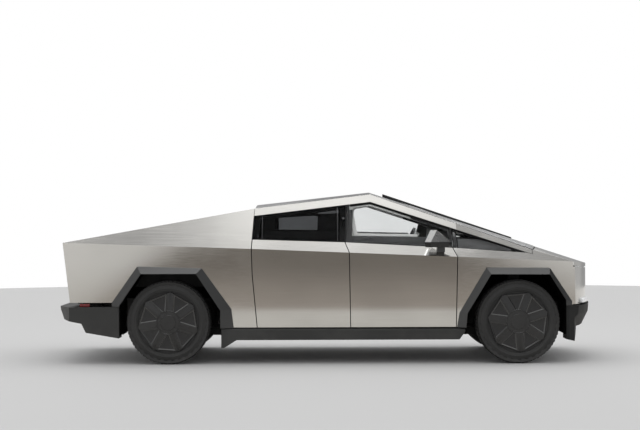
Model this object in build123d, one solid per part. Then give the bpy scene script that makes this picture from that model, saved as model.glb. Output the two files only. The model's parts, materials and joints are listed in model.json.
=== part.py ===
from build123d import *
import os
from math import asin, cos, degrees, radians, sin, sqrt

# Angular electric pickup truck, built as an assembly of named pieces, in millimetres.
# Frame: +X to the front, +Y to the left, +Z up.  The origin is on the ground, under the
# centre of the truck's bounding box.  The truck is symmetric about y = 0, so most pieces are
# made on the left side and mirrored; "side" is +1 on the left and -1 on the right.

os.makedirs("parts", exist_ok=True)

# ---------------------------------------------------------------- driving dimensions

# Chassis and wheels
wheelbase = 3635.0
rear_overhang = 1168.5
front_overhang = 879.5
tyre_radius = 434.0
tyre_width = 285.0
wheel_inset = 18.5              # tyre's outer face, inboard of the arch flare's
rim_radius = 254.0
rim_wall = 18.0
kingpin_inset = 55.0            # steering axis, inboard of the wheel's centre plane
running_gap = 0.05              # radial clearance of pins and spindles in their bores
seat_gap = 0.3                  # clearance between faces that turn past each other

# Body stations, from the axles
tail_from_axle = 1105.0         # upper rear corner, behind the rear axle
tail_rake = 70.0                # how far the tail face leans back over its height
rear_shut_from_axle = 865.0     # quarter panel to rear door, at the belt crease
rear_door_length = 1018.0
front_shut_before_axle = 627.0  # front door to front fender, at the belt crease
apex_before_axle = 1523.0       # roof peak, before the front axle
cowl_from_axle = 161.0          # windscreen base at its outer corner
nose_from_axle = 579.0          # front corner of the fender

# Body heights
crease_tail_z = 1267.0
crease_rear_z = 1199.0
crease_front_z = 1110.0
crease_nose_z = 1056.0
door_bottom_z = 380.0
roof_rear_z = 1619.0
apex_z = 1764.0
cowl_z = 1179.0
sill_rear_z = 1294.0
sill_mid_z = 1262.0
sill_front_z = 1201.0
panel_foot_z = 640.0            # lower edge of the quarter panel and the fascia

# Body half widths
belt_half = 992.0
tail_inset = 62.0               # rear corners, inboard of the belt crease
nose_inset = 57.0               # front corners
apex_half = 620.0
bottom_inset = 37.0             # door bottoms, inboard of the belt crease
flare_proud = 24.0              # arch flares, outboard of the belt crease
flare_sunk = 47.0               # and how far they reach inboard of it
liner_wall = 7.0
bumper_top_z = 596.0

# Panels and gaps
shut_gap = 9.0
door_thick = 130.0
frame_thick = 50.0              # door frame around the glass
glass_thick = 5.0
door_clearance = 18.0           # door's inner face to the pillars
pillar_wall = 55.0
panel_wall = 40.0               # quarter panel and fender walls
rail_depth = 78.0               # cant rail, below the top line
rail_tip_depth = 47.0
pane_thick = 6.0                # windscreen and roof glass
pane_rebate = pane_thick - 1.4
header_drop = 8.0               # cabin frame below the top line
pane_lip = 12.0                 # rail left outside the pane's rebate
crown_radius = 6700.0           # windscreen and roof, across the truck
nose_crown_radius = 10000.0
nose_bow = 269.0                # centre of the front, ahead of the fender corners
cowl_bow = 107.0

# Door hinges
hinge_setback = 55.0            # behind the door's front edge
hinge_inset = 16.0              # inboard of the door skin
hinge_pin_radius = 5.0
hinge_eye_radius = 9.0
hinge_arm_height = 24.0
hinge_low_z = 560.0
hinge_high_z = 1000.0
door_lift_gap = 10.0            # extra room over the rear door's front top corner
swing_low = 0.10                # how a door's rear face runs forward, going inwards, below the belt
swing_up = 0.32                 # and above it, so that the door can swing out
shut_knee_z = 934.0             # kink of the shut line behind the rear door

# Hood, tailgate and bed
hood_thick = 40.0
hood_gap = 10.0
hood_room = 6.0                 # least room between the hood and the fascia below it
fascia_depth = 60.0             # from the nose face to the fascia's back
tailgate_half = 800.0
tailgate_thick = 62.0
tailgate_pin_radius = 8.0
bed_half = 635.0
bed_wall = 20.0
bed_floor_z = 812.0
tonneau_thick = 28.0
tonneau_drop = 14.0             # below the top line of the sail panels
receiver_half = 25.4            # tow receiver, for a 50.8 mm hitch bar
receiver_z = 440.0
hitch_pin_radius = 8.0

# Floor and running gear
floor_z = 375.0
floor_thick = 24.0
battery_low_z = 235.0
battery_half = 700.0
arm_low_z = 300.0
arm_high_z = 566.0
arm_thick = 22.0
arm_inner_y = 300.0
spring_y = 600.0
tower_z = 672.0                 # underside of the spring towers
tower_in = 538.0
tower_out = 632.0
motor_radius = 118.0
spindle_radius = 30.0
knuckle_half = 35.0             # half thickness of the knuckle, across the kingpin
hub_radius = 90.0
cover_radius = 305.0
cover_sides = 7

FAR = 4500.0                    # beyond every face of the truck
BIG = 3 * FAR

# ---------------------------------------------------------------- derived stations

total_length = rear_overhang + wheelbase + front_overhang
rear_axle_x = rear_overhang - total_length / 2
front_axle_x = rear_axle_x + wheelbase
rear_end_x = -total_length / 2
front_end_x = total_length / 2

tail_x = rear_axle_x - tail_from_axle
tail_low_x = tail_x + tail_rake
rear_shut_x = rear_axle_x + rear_shut_from_axle
rear_shut_top_x = rear_shut_x + 30.0
rear_shut_low_x = rear_shut_x + 57.0
mid_shut_x = rear_shut_x + rear_door_length
mid_shut_sill_x = mid_shut_x - 44.0
mid_shut_top_x = mid_shut_x - 28.0
front_shut_x = front_axle_x - front_shut_before_axle
front_shut_sill_x = front_shut_x - 48.0
front_shut_top_x = front_shut_x - 58.0
front_shut_low_x = front_shut_x - 14.0
apex_x = front_axle_x - apex_before_axle
cowl_x = front_axle_x + cowl_from_axle
nose_x = front_axle_x + nose_from_axle
tail_half = belt_half - tail_inset
nose_half = belt_half - nose_inset
flare_half = belt_half + flare_proud
flare_back = belt_half - flare_sunk
cross_low_z = bumper_top_z + seat_gap
nose_radius = (nose_half ** 2 + nose_bow ** 2) / (2 * nose_bow)
nose_centre_x = nose_x + nose_bow - nose_radius
wheel_y = flare_half - wheel_inset - tyre_width / 2
kingpin_y = wheel_y - kingpin_inset
axle_z = tyre_radius


# ---------------------------------------------------------------- geometry helpers

def side_prism(points, y_low, y_high):
    """A side-view outline of (x, z) points, extruded from y_low to y_high."""
    wire = Polyline([(x, y_high, z) for x, z in points], close=True)
    return extrude(make_face(wire), amount=y_high - y_low, dir=(0, -1, 0))


def plan_prism(points, z_low, z_high):
    """A plan outline of (x, y) points, extruded from z_low to z_high."""
    wire = Polyline([(x, y, z_low) for x, y in points], close=True)
    return extrude(make_face(wire), amount=z_high - z_low, dir=(0, 0, 1))


def block(x_low, x_high, y_low, y_high, z_low, z_high):
    """An upright box between two corners."""
    size = (x_high - x_low, y_high - y_low, z_high - z_low)
    return Pos(x_low, y_low, z_low) * Box(*size, align=(Align.MIN, Align.MIN, Align.MIN))


def post(x, y, z_low, z_high, radius):
    """An upright cylinder."""
    return Pos(x, y, z_low) * extrude(Circle(radius), amount=z_high - z_low)


def axle_rod(x, z, y_low, y_high, radius):
    """A cylinder that lies along Y."""
    disc = Plane(origin=(x, y_low, z), x_dir=(1, 0, 0), z_dir=(0, 1, 0)) * Circle(radius)
    return extrude(disc, amount=y_high - y_low, dir=(0, 1, 0))


def leaning_plane(a, b, c):
    """The plane through three points, with its normal pointing to the left, +Y."""
    ab = Vector(*b) - Vector(*a)
    ac = Vector(*c) - Vector(*a)
    normal = ab.cross(ac)
    if normal.Y < 0:
        normal = normal * -1
    return Plane(origin=a, z_dir=normal)


def y_on(plane, x, z):
    """The y of a plane above a point of the side view."""
    o = plane.origin
    n = plane.z_dir
    return o.Y - (n.X * (x - o.X) + n.Z * (z - o.Z)) / n.Y


def beyond(plane, depth=0.0):
    """Everything further out than a plane moved inwards by depth."""
    return plane.offset(-depth) * Box(BIG, BIG, BIG / 3, align=(Align.CENTER, Align.CENTER, Align.MIN))


def lerp(points, x):
    """Height of a line through (x, z) points."""
    for (x0, z0), (x1, z1) in zip(points, points[1:]):
        if x <= x1:
            break
    return z0 + (z1 - z0) * (x - x0) / (x1 - x0)


def both(piece):
    """A left piece with its mirror image on the right, as solids that don't touch."""
    return Compound(children=list(piece.solids()) + list(mirror(piece, about=Plane.XZ).solids()))


def left_half(piece):
    """What lies on the left of the centre line."""
    return piece - block(-BIG, BIG, -BIG, 0.0, -BIG, BIG)


def whole(piece):
    """A left piece joined to its mirror image across the centre line."""
    return piece.solids()[0] + mirror(piece, about=Plane.XZ).solids()[0]


def on_side(piece, side):
    """A left piece, kept or mirrored to the right."""
    return piece if side > 0 else mirror(piece, about=Plane.XZ)


def save(name, *pieces):
    """Write one node as a STEP file."""
    solids = [solid for piece in pieces for solid in piece.solids()]
    shape = solids[0] if len(solids) == 1 else Compound(children=solids)
    export_step(shape, "parts/" + name + ".step")


# ---------------------------------------------------------------- body surfaces

# The left side is six flat facets: quarter panel, doors and fender, each below and above the
# belt crease.  Every panel is cut from these planes, so panels stay flush with each other.
belt_rear = (rear_shut_x, belt_half, crease_rear_z)
belt_front = (front_shut_x, belt_half, crease_front_z)
tail_corner = (tail_x, tail_half, crease_tail_z)
nose_corner = (nose_x, nose_half, crease_nose_z)
door_low = leaning_plane(belt_rear, belt_front, (mid_shut_x, belt_half - bottom_inset, door_bottom_z))
door_up = leaning_plane(belt_rear, belt_front, (apex_x, apex_half, apex_z))

top_line = [
    (tail_x, crease_tail_z),
    (rear_shut_top_x, roof_rear_z),
    (apex_x, apex_z),
    (cowl_x, cowl_z),
    (nose_x, crease_nose_z),
]
rail_line = [
    (rear_shut_top_x - 8.0, roof_rear_z - rail_depth),
    (apex_x, apex_z - rail_depth),
    (cowl_x - 50.0, lerp(top_line, cowl_x - 50.0) - rail_tip_depth),
]
sill_line = [
    (rear_shut_x, sill_rear_z),
    (mid_shut_sill_x, sill_mid_z),
    (front_shut_sill_x, sill_front_z),
    rail_line[2],
]

quarter_low = leaning_plane(
    belt_rear, tail_corner, (rear_shut_x, y_on(door_low, rear_shut_x, door_bottom_z), door_bottom_z))
quarter_up = leaning_plane(
    belt_rear, tail_corner, (rear_shut_top_x, y_on(door_up, rear_shut_top_x, roof_rear_z), roof_rear_z))
fender_low = leaning_plane(
    belt_front, nose_corner, (front_shut_x, y_on(door_low, front_shut_x, door_bottom_z), door_bottom_z))
pillar_top_z = lerp(top_line, front_shut_x)
fender_up = leaning_plane(
    belt_front, nose_corner, (front_shut_x, y_on(door_up, front_shut_x, pillar_top_z), pillar_top_z))
low_planes = [quarter_low, door_low, fender_low]
up_planes = [quarter_up, door_up, fender_up]


def inside(piece, low_depth=0.0, up_depth=0.0):
    """The part of a left piece that lies deeper than the side facets by the given depths."""
    for plane in low_planes:
        piece = piece - beyond(plane, low_depth)
    for plane in up_planes:
        piece = piece - beyond(plane, up_depth)
    return piece


def edge_half(x):
    """Half width of the body at its top line."""
    z = lerp(top_line, x)
    return min(y_on(plane, x, z) for plane in up_planes)


def crown_z(x):
    """Height of the glass on the centre line, from its edge and its crown."""
    slope = (lerp(top_line, x + 1.0) - lerp(top_line, x - 1.0)) / 2
    return lerp(top_line, x) + sqrt(1 + slope ** 2) * edge_half(x) ** 2 / (2 * crown_radius)


def crowned_slab(x_low, x_high, thick):
    """A slab with a round crown, from the top surface at x_low to the one at x_high."""
    start = Vector(x_low, 0, crown_z(x_low))
    way = Vector(x_high, 0, crown_z(x_high)) - start
    start = start - way.normalized() * 60.0
    plane = Plane(origin=start, x_dir=(0, 1, 0), z_dir=way)
    down = 1 if plane.y_dir.Z < 0 else -1
    drop = belt_half ** 2 / (2 * crown_radius)
    upper = ThreePointArc((-belt_half, down * drop), (0, 0), (belt_half, down * drop))
    lower = ThreePointArc(
        (belt_half, down * (drop + thick)), (0, down * thick), (-belt_half, down * (drop + thick)))
    right = Line((belt_half, down * drop), (belt_half, down * (drop + thick)))
    left = Line((-belt_half, down * (drop + thick)), (-belt_half, down * drop))
    slab = extrude(plane * make_face([upper, right, lower, left]), amount=way.length + 120.0, dir=way)
    return slab & block(x_low, x_high, -FAR, FAR, 0.0, FAR)


# ---------------------------------------------------------------- outlines

half_gap = shut_gap / 2
crease_line = [(rear_shut_x, crease_rear_z), (front_shut_x, crease_front_z)]


def door_outline(front):
    """Side view of a door, inside its shut lines: up the rear edge, along the top and down."""
    def under_rail(x, gap):
        return x, lerp(rail_line, x) - gap

    middle = [(mid_shut_x + 12.0, door_bottom_z), (mid_shut_x, lerp(crease_line, mid_shut_x)),
              (mid_shut_sill_x, sill_mid_z)]
    if front:
        rear = middle + [under_rail(mid_shut_top_x, half_gap)]
        fore = [(front_shut_low_x, door_bottom_z), (front_shut_x, crease_front_z),
                (front_shut_sill_x, sill_front_z), under_rail(front_shut_top_x, half_gap)]
        crest = [under_rail(apex_x, half_gap)]
    else:
        rear = [(rear_shut_low_x, door_bottom_z), (rear_shut_x + 7.0, shut_knee_z),
                (rear_shut_x, crease_rear_z), under_rail(rear_shut_top_x - 8.0, half_gap)]
        fore = middle + [under_rail(mid_shut_top_x, half_gap + door_lift_gap)]
        crest = []
    rear = [(x + half_gap, z) for x, z in rear]
    fore = [(x - half_gap, z) for x, z in fore]
    return rear + crest + list(reversed(fore))


# Wheel arches, as offsets (x from the axle, z above the ground)
rear_arch_in = [
    (-504.0, 200.0), (-504.0, 615.0), (-283.0, 940.0), (289.0, 940.0), (541.0, 561.0), (541.0, 200.0)]
rear_arch_out = [
    (-590.0, 600.0), (-590.0, 642.0), (-326.0, 1017.0), (348.0, 998.0), (653.0, 573.0), (676.0, 372.0)]
front_arch_in = [
    (-542.0, 200.0), (-528.0, 523.0), (-282.0, 926.0), (327.0, 923.0), (493.0, 658.0), (493.0, 200.0)]
front_arch_out = [
    (-634.0, 372.0), (-608.0, 529.0), (-328.0, 998.0), (334.0, 990.0), (563.0, 645.0), (563.0, 604.0)]


def shifted(points, dx):
    """Points moved along X."""
    return [(x + dx, z) for x, z in points]


def down_to_ground(points):
    """An open outline, closed along the ground."""
    return [(points[0][0], 0.0)] + points + [(points[-1][0], 0.0)]


# ---------------------------------------------------------------- running gear

def tyre(axle_x, side):
    """Low-profile tyre with rounded shoulders, seated on the rim."""
    half = tyre_width / 2
    profile = [
        (rim_radius, half - 42.0),
        (rim_radius + 46.0, half - 30.0),
        (rim_radius + 86.0, half - 3.0),
        (rim_radius + 121.0, half),
        (tyre_radius - 18.0, half - 14.0),
        (tyre_radius, half - 34.0),
    ]
    ring = [(r, y) for r, y in profile] + [(r, -y) for r, y in reversed(profile)]
    wire = Polyline([(r, y, 0) for r, y in ring], close=True)
    solid = revolve(make_face(wire), Axis.Y)
    return Pos(axle_x, side * wheel_y, axle_z) * solid


def rim(axle_x, side):
    """Rim barrel, disc and hub, with the flat spoked cover that laps the sidewall."""
    back = wheel_y - tyre_width / 2 + 44.0
    front = wheel_y + tyre_width / 2 - 44.0
    hub_back = kingpin_y + knuckle_half + seat_gap
    cover_back = wheel_y + tyre_width / 2 - 20.0
    cover_front = wheel_y + tyre_width / 2 - 6.0
    barrel = axle_rod(0, 0, back, front, rim_radius) - axle_rod(0, 0, back, front, rim_radius - rim_wall)
    disc = axle_rod(0, 0, front - 26.0, front, rim_radius - rim_wall / 2)
    hub = axle_rod(0, 0, hub_back, cover_back + 1.0, hub_radius)
    bore = axle_rod(0, 0, hub_back - 1.0, front - 8.0, spindle_radius + running_gap)
    plane = Plane(origin=(0, cover_back, 0), x_dir=(1, 0, 0), z_dir=(0, 1, 0))
    plate = extrude(plane * RegularPolygon(cover_radius, cover_sides), amount=cover_front - cover_back)
    cap = axle_rod(0, 0, cover_front, cover_front + 8.0, 118.0)
    spoke = extrude(plane * Pos(cover_radius / 2, 0) * Rectangle(cover_radius - 30.0, 74.0), amount=20.0)
    wheel = barrel + disc + hub + plate + cap
    for turn in range(cover_sides):
        wheel = wheel + Rot(0, 360.0 / cover_sides * turn, 0) * spoke
    wheel = wheel - bore
    return Pos(axle_x, 0, axle_z) * on_side(wheel, side)


def knuckle(axle_x, side):
    """Upright with its spindle, two kingpin bores and a pocket for the half shaft's joint."""
    low = arm_low_z + arm_thick / 2 + seat_gap
    high = arm_high_z - arm_thick / 2 - seat_gap
    body = block(-48.0, 48.0, kingpin_y - knuckle_half, kingpin_y + knuckle_half, low, high)
    spindle = axle_rod(0, axle_z, kingpin_y + knuckle_half, wheel_y + tyre_width / 2 - 54.0, spindle_radius)
    flange = axle_rod(0, axle_z, kingpin_y - 5.0, kingpin_y + knuckle_half, 88.0)
    pocket = axle_rod(0, axle_z, kingpin_y - knuckle_half - 60.0, kingpin_y + 12.0, 68.0)
    upright = body + flange + spindle - pocket
    for z_low, z_high in ((low, low + 30.0), (high - 30.0, high)):
        upright = upright - post(0, kingpin_y, z_low, z_high, 12.0 + running_gap)
    return Pos(axle_x, 0, 0) * on_side(upright, side)


def suspension_arms():
    """Upper and lower wishbones with their kingpin pins, and a spring unit, at each wheel."""
    pieces = []
    for axle_x in (rear_axle_x, front_axle_x):
        for z, reach in ((arm_low_z, 1), (arm_high_z, -1)):
            z_low = z - arm_thick / 2
            z_high = z + arm_thick / 2
            legs = [(-200.0, arm_inner_y), (-140.0, arm_inner_y), (0.0, spring_y - 60.0),
                    (140.0, arm_inner_y), (200.0, arm_inner_y), (30.0, kingpin_y - 20.0),
                    (-30.0, kingpin_y - 20.0)]
            arm = plan_prism(legs, z_low, z_high) + post(0, kingpin_y, z_low, z_high, 34.0)
            pin_end = z_high + 22.0 if reach > 0 else z_low - 22.0
            arm = arm + post(0, kingpin_y, min(z, pin_end), max(z, pin_end), 12.0)
            pieces.append(both(Pos(axle_x, 0, 0) * arm))
    return pieces


def springs():
    """Air spring and damper on each upper wishbone, up to its tower."""
    pieces = []
    foot = arm_high_z + arm_thick / 2
    for axle_x in (rear_axle_x, front_axle_x):
        strut = post(axle_x, spring_y, foot, tower_z - seat_gap, 34.0)
        bag = post(axle_x, spring_y, foot + 34.0, tower_z - seat_gap, 58.0)
        pieces.append(both(strut + bag))
    return pieces


def drive_units():
    """Motor and gear housing on each axle, one plain heavy block with round ends."""
    pieces = []
    for axle_x in (rear_axle_x, front_axle_x):
        motor = axle_rod(axle_x, axle_z, -230.0, 230.0, motor_radius)
        gears = block(axle_x - 190.0, axle_x, -110.0, 110.0, axle_z - 105.0, axle_z + 95.0)
        pieces.append(motor + gears)
    return pieces


def half_shafts():
    """Shaft from each drive unit to a ball inside the knuckle's pocket."""
    pieces = []
    for axle_x in (rear_axle_x, front_axle_x):
        shaft = axle_rod(axle_x, axle_z, 230.0, kingpin_y - 25.0, 17.0)
        boot = axle_rod(axle_x, axle_z, 230.0, 290.0, 44.0)
        ball = Pos(axle_x, kingpin_y - 25.0, axle_z) * Sphere(26.0)
        pieces.append(both(shaft + boot + ball))
    return pieces


def battery_ends():
    """Rear and front ends of the battery."""
    return rear_axle_x + 640.0, front_axle_x - 640.0


def subframes():
    """Front and rear cradles, from the battery out, that carry the wishbones and drive units."""
    pieces = []
    rail = 60.0
    low = 250.0
    high = 330.0
    rear_end, front_end = battery_ends()
    inner = arm_inner_y - rail
    spans = [(rear_axle_x, rear_axle_x - 260.0, rear_end - seat_gap),
             (front_axle_x, front_end + seat_gap, front_axle_x + 260.0)]
    for axle_x, x_low, x_high in spans:
        cradle = block(x_low, x_high, -arm_inner_y, arm_inner_y, low, high)
        cradle = cradle - block(x_low + rail, x_high - rail, -inner, inner, low, high)
        cradle = cradle + block(axle_x - 60.0, axle_x + 60.0, -inner, inner, low, axle_z - motor_radius)
        for dx in (-170.0, 170.0):
            post_x = axle_x + dx
            tab = block(post_x - 28.0, post_x + 28.0, inner, arm_inner_y - seat_gap, high,
                        arm_high_z + arm_thick / 2)
            cradle = cradle + tab + mirror(tab, about=Plane.XZ)
        relief = block(axle_x - 230.0, axle_x + 230.0, arm_inner_y - seat_gap, FAR, low, high)
        cradle = cradle - relief - mirror(relief, about=Plane.XZ)
        pieces.append(cradle)
    return pieces


def battery_pack():
    """Floor battery, one plain heavy block between the axles."""
    x_low, x_high = battery_ends()
    return block(x_low, x_high, -battery_half, battery_half, battery_low_z, floor_z)


# ---------------------------------------------------------------- cabin structure

wall_low = door_thick + door_clearance
wall_up = frame_thick + door_clearance
rear_wall_x = rear_shut_x - 60.0
firewall_x = front_shut_x + 80.0
cowl_underside = [(firewall_x, 900.0), (cowl_x - 60.0, cowl_z - 80.0)]
dash_floor = [(firewall_x - 40.0, 960.0), (cowl_x - 110.0, 1085.0)]


def cabin_frame():
    """Welded cabin: floor, sills, pillars, roof rails, headers, bulkheads and hinge arms."""
    outline = [(rear_wall_x, floor_z), (rear_wall_x, lerp(top_line, rear_wall_x) - header_drop),
               (rear_shut_top_x, roof_rear_z - header_drop), (apex_x, apex_z - header_drop),
               (cowl_x - 60.0, lerp(top_line, cowl_x - 60.0) - header_drop),
               cowl_underside[1], cowl_underside[0], (firewall_x, floor_z)]
    shell = inside(side_prism(outline, 0.0, FAR), wall_low, wall_up)
    cavity_line = [(rear_wall_x + pillar_wall, floor_z + floor_thick),
                   (rear_wall_x + pillar_wall, roof_rear_z - 75.0), (apex_x, apex_z - 62.0),
                   (cowl_x - 110.0, lerp(top_line, cowl_x - 110.0) - 70.0), dash_floor[1], dash_floor[0],
                   (dash_floor[0][0], floor_z + floor_thick)]
    cavity = inside(side_prism(cavity_line, -1.0, FAR), wall_low + pillar_wall, wall_up + 40.0)
    shell = shell - cavity

    # Panes of the windscreen and the roof
    screen = [(apex_x + 55.0, apex_z + 60.0), (apex_x + 55.0, lerp(top_line, apex_x + 55.0) - 90.0),
              (cowl_x - 130.0, lerp(top_line, cowl_x - 130.0) - 90.0), (cowl_x - 130.0, apex_z)]
    roof = [(rear_shut_top_x + 60.0, apex_z + 60.0), (rear_shut_top_x + 60.0, roof_rear_z - 90.0),
            (apex_x - 25.0, apex_z - 95.0), (apex_x - 25.0, apex_z + 60.0)]
    for line in (screen, roof):
        shell = shell - inside(side_prism(line, -1.0, FAR), wall_low, wall_up + 34.0)

    # Door openings and front quarter window
    front_hole = [(mid_shut_x + 52.0, floor_z + 46.0), (mid_shut_x + 40.0, crease_rear_z - 30.0),
                  (mid_shut_top_x + 60.0, lerp(rail_line, mid_shut_top_x) - 52.0),
                  (apex_x, lerp(rail_line, apex_x) - 50.0),
                  (front_shut_top_x - 55.0, lerp(rail_line, front_shut_top_x - 55.0) - 50.0),
                  (front_shut_x - 115.0, sill_front_z), (front_shut_x - 115.0, floor_z + 46.0)]
    rear_hole = [(rear_shut_x + 100.0, floor_z + 46.0), (rear_shut_x + 60.0, crease_rear_z),
                 (rear_shut_top_x + 30.0, lerp(rail_line, rear_shut_top_x + 30.0) - 52.0),
                 (mid_shut_top_x - 60.0, lerp(rail_line, mid_shut_top_x) - 52.0),
                 (mid_shut_sill_x - 60.0, sill_mid_z), (mid_shut_x - 105.0, crease_rear_z - 60.0),
                 (mid_shut_x - 105.0, floor_z + 46.0)]
    vent_hole = [(front_shut_top_x + 30.0, sill_front_z + 12.0), (front_shut_top_x + 30.0, 1352.0),
                 (cowl_x - 180.0, 1163.0)]
    for line in (front_hole, rear_hole, vent_hole):
        shell = shell - side_prism(line, 400.0, FAR)
    frame = whole(shell)
    for side in (1, -1):
        for front in (True, False):
            for z in (hinge_low_z, hinge_high_z):
                frame = frame + on_side(hinge_arm(front, z), side)
    return frame


def hinge_x(front):
    """Station of a door's hinge axis, behind the foremost point of the door's front edge."""
    edge = front_shut_x if front else mid_shut_x + 12.0
    return edge - half_gap - hinge_setback


def hinge_place(front, z):
    """Frame on the left door's hinge axis, which lies parallel to the lower door skin."""
    x = hinge_x(front)
    normal = door_low.z_dir
    axis = Vector(0, -normal.Z, normal.Y)
    return Plane(origin=(x, y_on(door_low, x, z) - hinge_inset, z), x_dir=(1, 0, 0), z_dir=axis)


def hinge_arm(front, z):
    """Arm from the pillar to a hinge pin that turns in the door."""
    half = hinge_arm_height / 2
    reach = wall_low - hinge_inset + 12.0
    arm = block(-hinge_eye_radius, hinge_eye_radius, -reach, 0.0, -half, half)
    arm = arm + post(0, 0, -half, half, hinge_eye_radius)
    arm = arm + post(0, 0, -half - 20.0, half + 20.0, hinge_pin_radius)
    return hinge_place(front, z) * arm


def cant_rails():
    """Bright rails from the sail panels over the doors and down the windscreen to the cowl."""
    outline = [rail_line[0], (rear_shut_top_x, roof_rear_z), (apex_x, apex_z),
               (cowl_x - 4.0, lerp(top_line, cowl_x - 4.0)), (cowl_x - 4.0, cowl_z - rail_tip_depth + 6.0),
               rail_line[2], rail_line[1]]
    rail = inside(side_prism(outline, 0.0, FAR))
    rail = rail - inside(side_prism(outline, -1.0, FAR), wall_up, wall_up)
    band = [(x, z - pane_rebate) for x, z in top_line] + [(x, z + 5.0) for x, z in reversed(top_line)]
    rail = rail - inside(side_prism(band, -1.0, FAR), pane_lip, pane_lip)
    return both(rail)


def pane(x_low, x_high):
    """A crowned pane between the cant rails' lips."""
    slab = crowned_slab(x_low, x_high, pane_thick)
    return whole(inside(left_half(slab), pane_lip + 3.0, pane_lip + 3.0))


def cowl_cut(grow):
    """Everything behind the bowed line where the windscreen meets the hood."""
    radius = (edge_half(cowl_x) ** 2 + cowl_bow ** 2) / (2 * cowl_bow)
    centre_x = cowl_x + cowl_bow - radius
    return post(centre_x, 0, -FAR, FAR, radius + grow)


def windscreen():
    """One long pane from the roof peak to the cowl."""
    return pane(apex_x + 4.0, cowl_x + cowl_bow) & cowl_cut(0.0)


def roof_glass():
    """Fixed glass roof, from behind the rear seats to the roof peak."""
    return pane(rear_shut_top_x + 4.0, apex_x - 4.0)


def quarter_windows():
    """Fixed triangular pane ahead of each front door's glass, with its frame."""
    tip_x = cowl_x - 70.0
    top_x = front_shut_top_x + half_gap + 1.0
    line = [(front_shut_sill_x + half_gap + 1.0, sill_front_z + 3.0), (tip_x, lerp(rail_line, tip_x) - 1.0),
            (top_x, lerp(rail_line, top_x) - seat_gap)]
    slab = inside(side_prism(line, 0.0, FAR))
    slab = slab - inside(side_prism(line, -1.0, FAR), wall_up, wall_up)
    return both(slab)


# ---------------------------------------------------------------- doors

def door_shell(front):
    """Left door: thick below the belt, a thin frame round the window opening above it."""
    outline = door_outline(front)
    door = inside(side_prism(outline, 0.0, FAR))
    door = door - inside(side_prism(outline, -1.0, FAR), door_thick, frame_thick)
    above = [(rear_shut_x - 60.0, sill_rear_z + 2.0), (rear_shut_x - 60.0, FAR), (cowl_x, FAR),
             (cowl_x, sill_front_z), (front_shut_sill_x, sill_front_z), (mid_shut_sill_x, sill_mid_z)]
    rebate = side_prism(above, 0.0, FAR)
    rebate = rebate - inside(rebate, glass_thick, glass_thick)
    door = door - rebate
    return door - side_prism(window_line(front), 300.0, FAR)


def beyond_edge(plane, start, end, way):
    """What lies beyond a face that runs inwards along way from an edge on a skin plane."""
    a, b = (Vector(x, y_on(plane, x, z), z) for x, z in (start, end))
    return beyond(Plane(origin=a, x_dir=b - a, z_dir=way.cross(b - a)))


def cut_edges(door, front):
    """A door with its rear face slanted to swing past its neighbour, and a top square to the skin."""
    outline = door_outline(front)
    rear = outline[:4]
    for start, end in zip(rear, rear[1:]):
        low = end[1] < lerp(crease_line, end[0]) + 1.0
        plane, swing = (door_low, swing_low) if low else (door_up, swing_up)
        cut = beyond_edge(plane, start, end, Vector(swing, -1, 0))
        door = door - (cut & block(-FAR, FAR, 0.0, FAR, start[1], end[1]))
    top = outline[3:-3]
    for start, end in zip(top, top[1:]):
        cut = beyond_edge(door_up, start, end, door_up.z_dir * -1)
        door = door - (cut & block(start[0], end[0], 0.0, FAR, 0.0, FAR))
    return door


def window_line(front):
    """The opening in the door's window frame."""
    def under_rail(x):
        return x, lerp(rail_line, x) - 44.0

    if front:
        return [(mid_shut_sill_x + 72.0, sill_mid_z + 12.0), under_rail(mid_shut_top_x + 72.0),
                under_rail(apex_x), under_rail(front_shut_top_x - 40.0),
                (front_shut_sill_x - 44.0, sill_front_z + 12.0)]
    return [(rear_shut_x + 72.0, sill_rear_z + 8.0), under_rail(rear_shut_top_x + 60.0),
            under_rail(mid_shut_top_x - 60.0), (mid_shut_sill_x - 60.0, sill_mid_z + 12.0)]


def hinge_notch(front, z):
    """Room in the door for one hinge arm, and the bores for its pin."""
    half = hinge_arm_height / 2 + 6.0
    reach = hinge_eye_radius + 2.0
    notch = block(-reach, 120.0, -180.0, reach, -half, half)
    notch = notch + post(0, 0, -half - 20.0, half + 20.0, hinge_pin_radius + running_gap)
    return hinge_place(front, z) * notch


def door(front, side):
    """A door with its slanted edges and hinge notches."""
    shell = cut_edges(door_shell(front), front)
    for z in (hinge_low_z, hinge_high_z):
        shell = shell - hinge_notch(front, z)
    return on_side(shell, side)


def door_glass(front, side):
    """The flush pane that covers the door's window frame."""
    outline = door_outline(front)
    sill = [(x, z + 3.0) for x, z in sill_line]
    rim = half_gap + 1.0
    if front:
        line = [(mid_shut_sill_x + rim, sill[1][1]), (mid_shut_top_x + rim, outline[3][1] - 1.0),
                (apex_x, outline[4][1] - 1.0), (front_shut_top_x - rim, outline[5][1] - 1.0),
                (front_shut_sill_x - rim, sill[2][1])]
    else:
        line = [(rear_shut_x + 10.0, sill[0][1]), (rear_shut_top_x, outline[3][1] - 1.0),
                (mid_shut_top_x - rim, outline[4][1] - 1.0), (mid_shut_sill_x - rim, sill[1][1])]
    glass = inside(side_prism(line, 300.0, FAR))
    glass = glass - inside(side_prism(line, 299.0, FAR), glass_thick, glass_thick)
    return on_side(glass, side)


mirror_x = front_shut_sill_x - 127.0
mirror_y = belt_half + 12.0
mirror_low_z = 1212.0
mirror_high_z = 1391.0
mirror_pin_radius = 9.0


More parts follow.
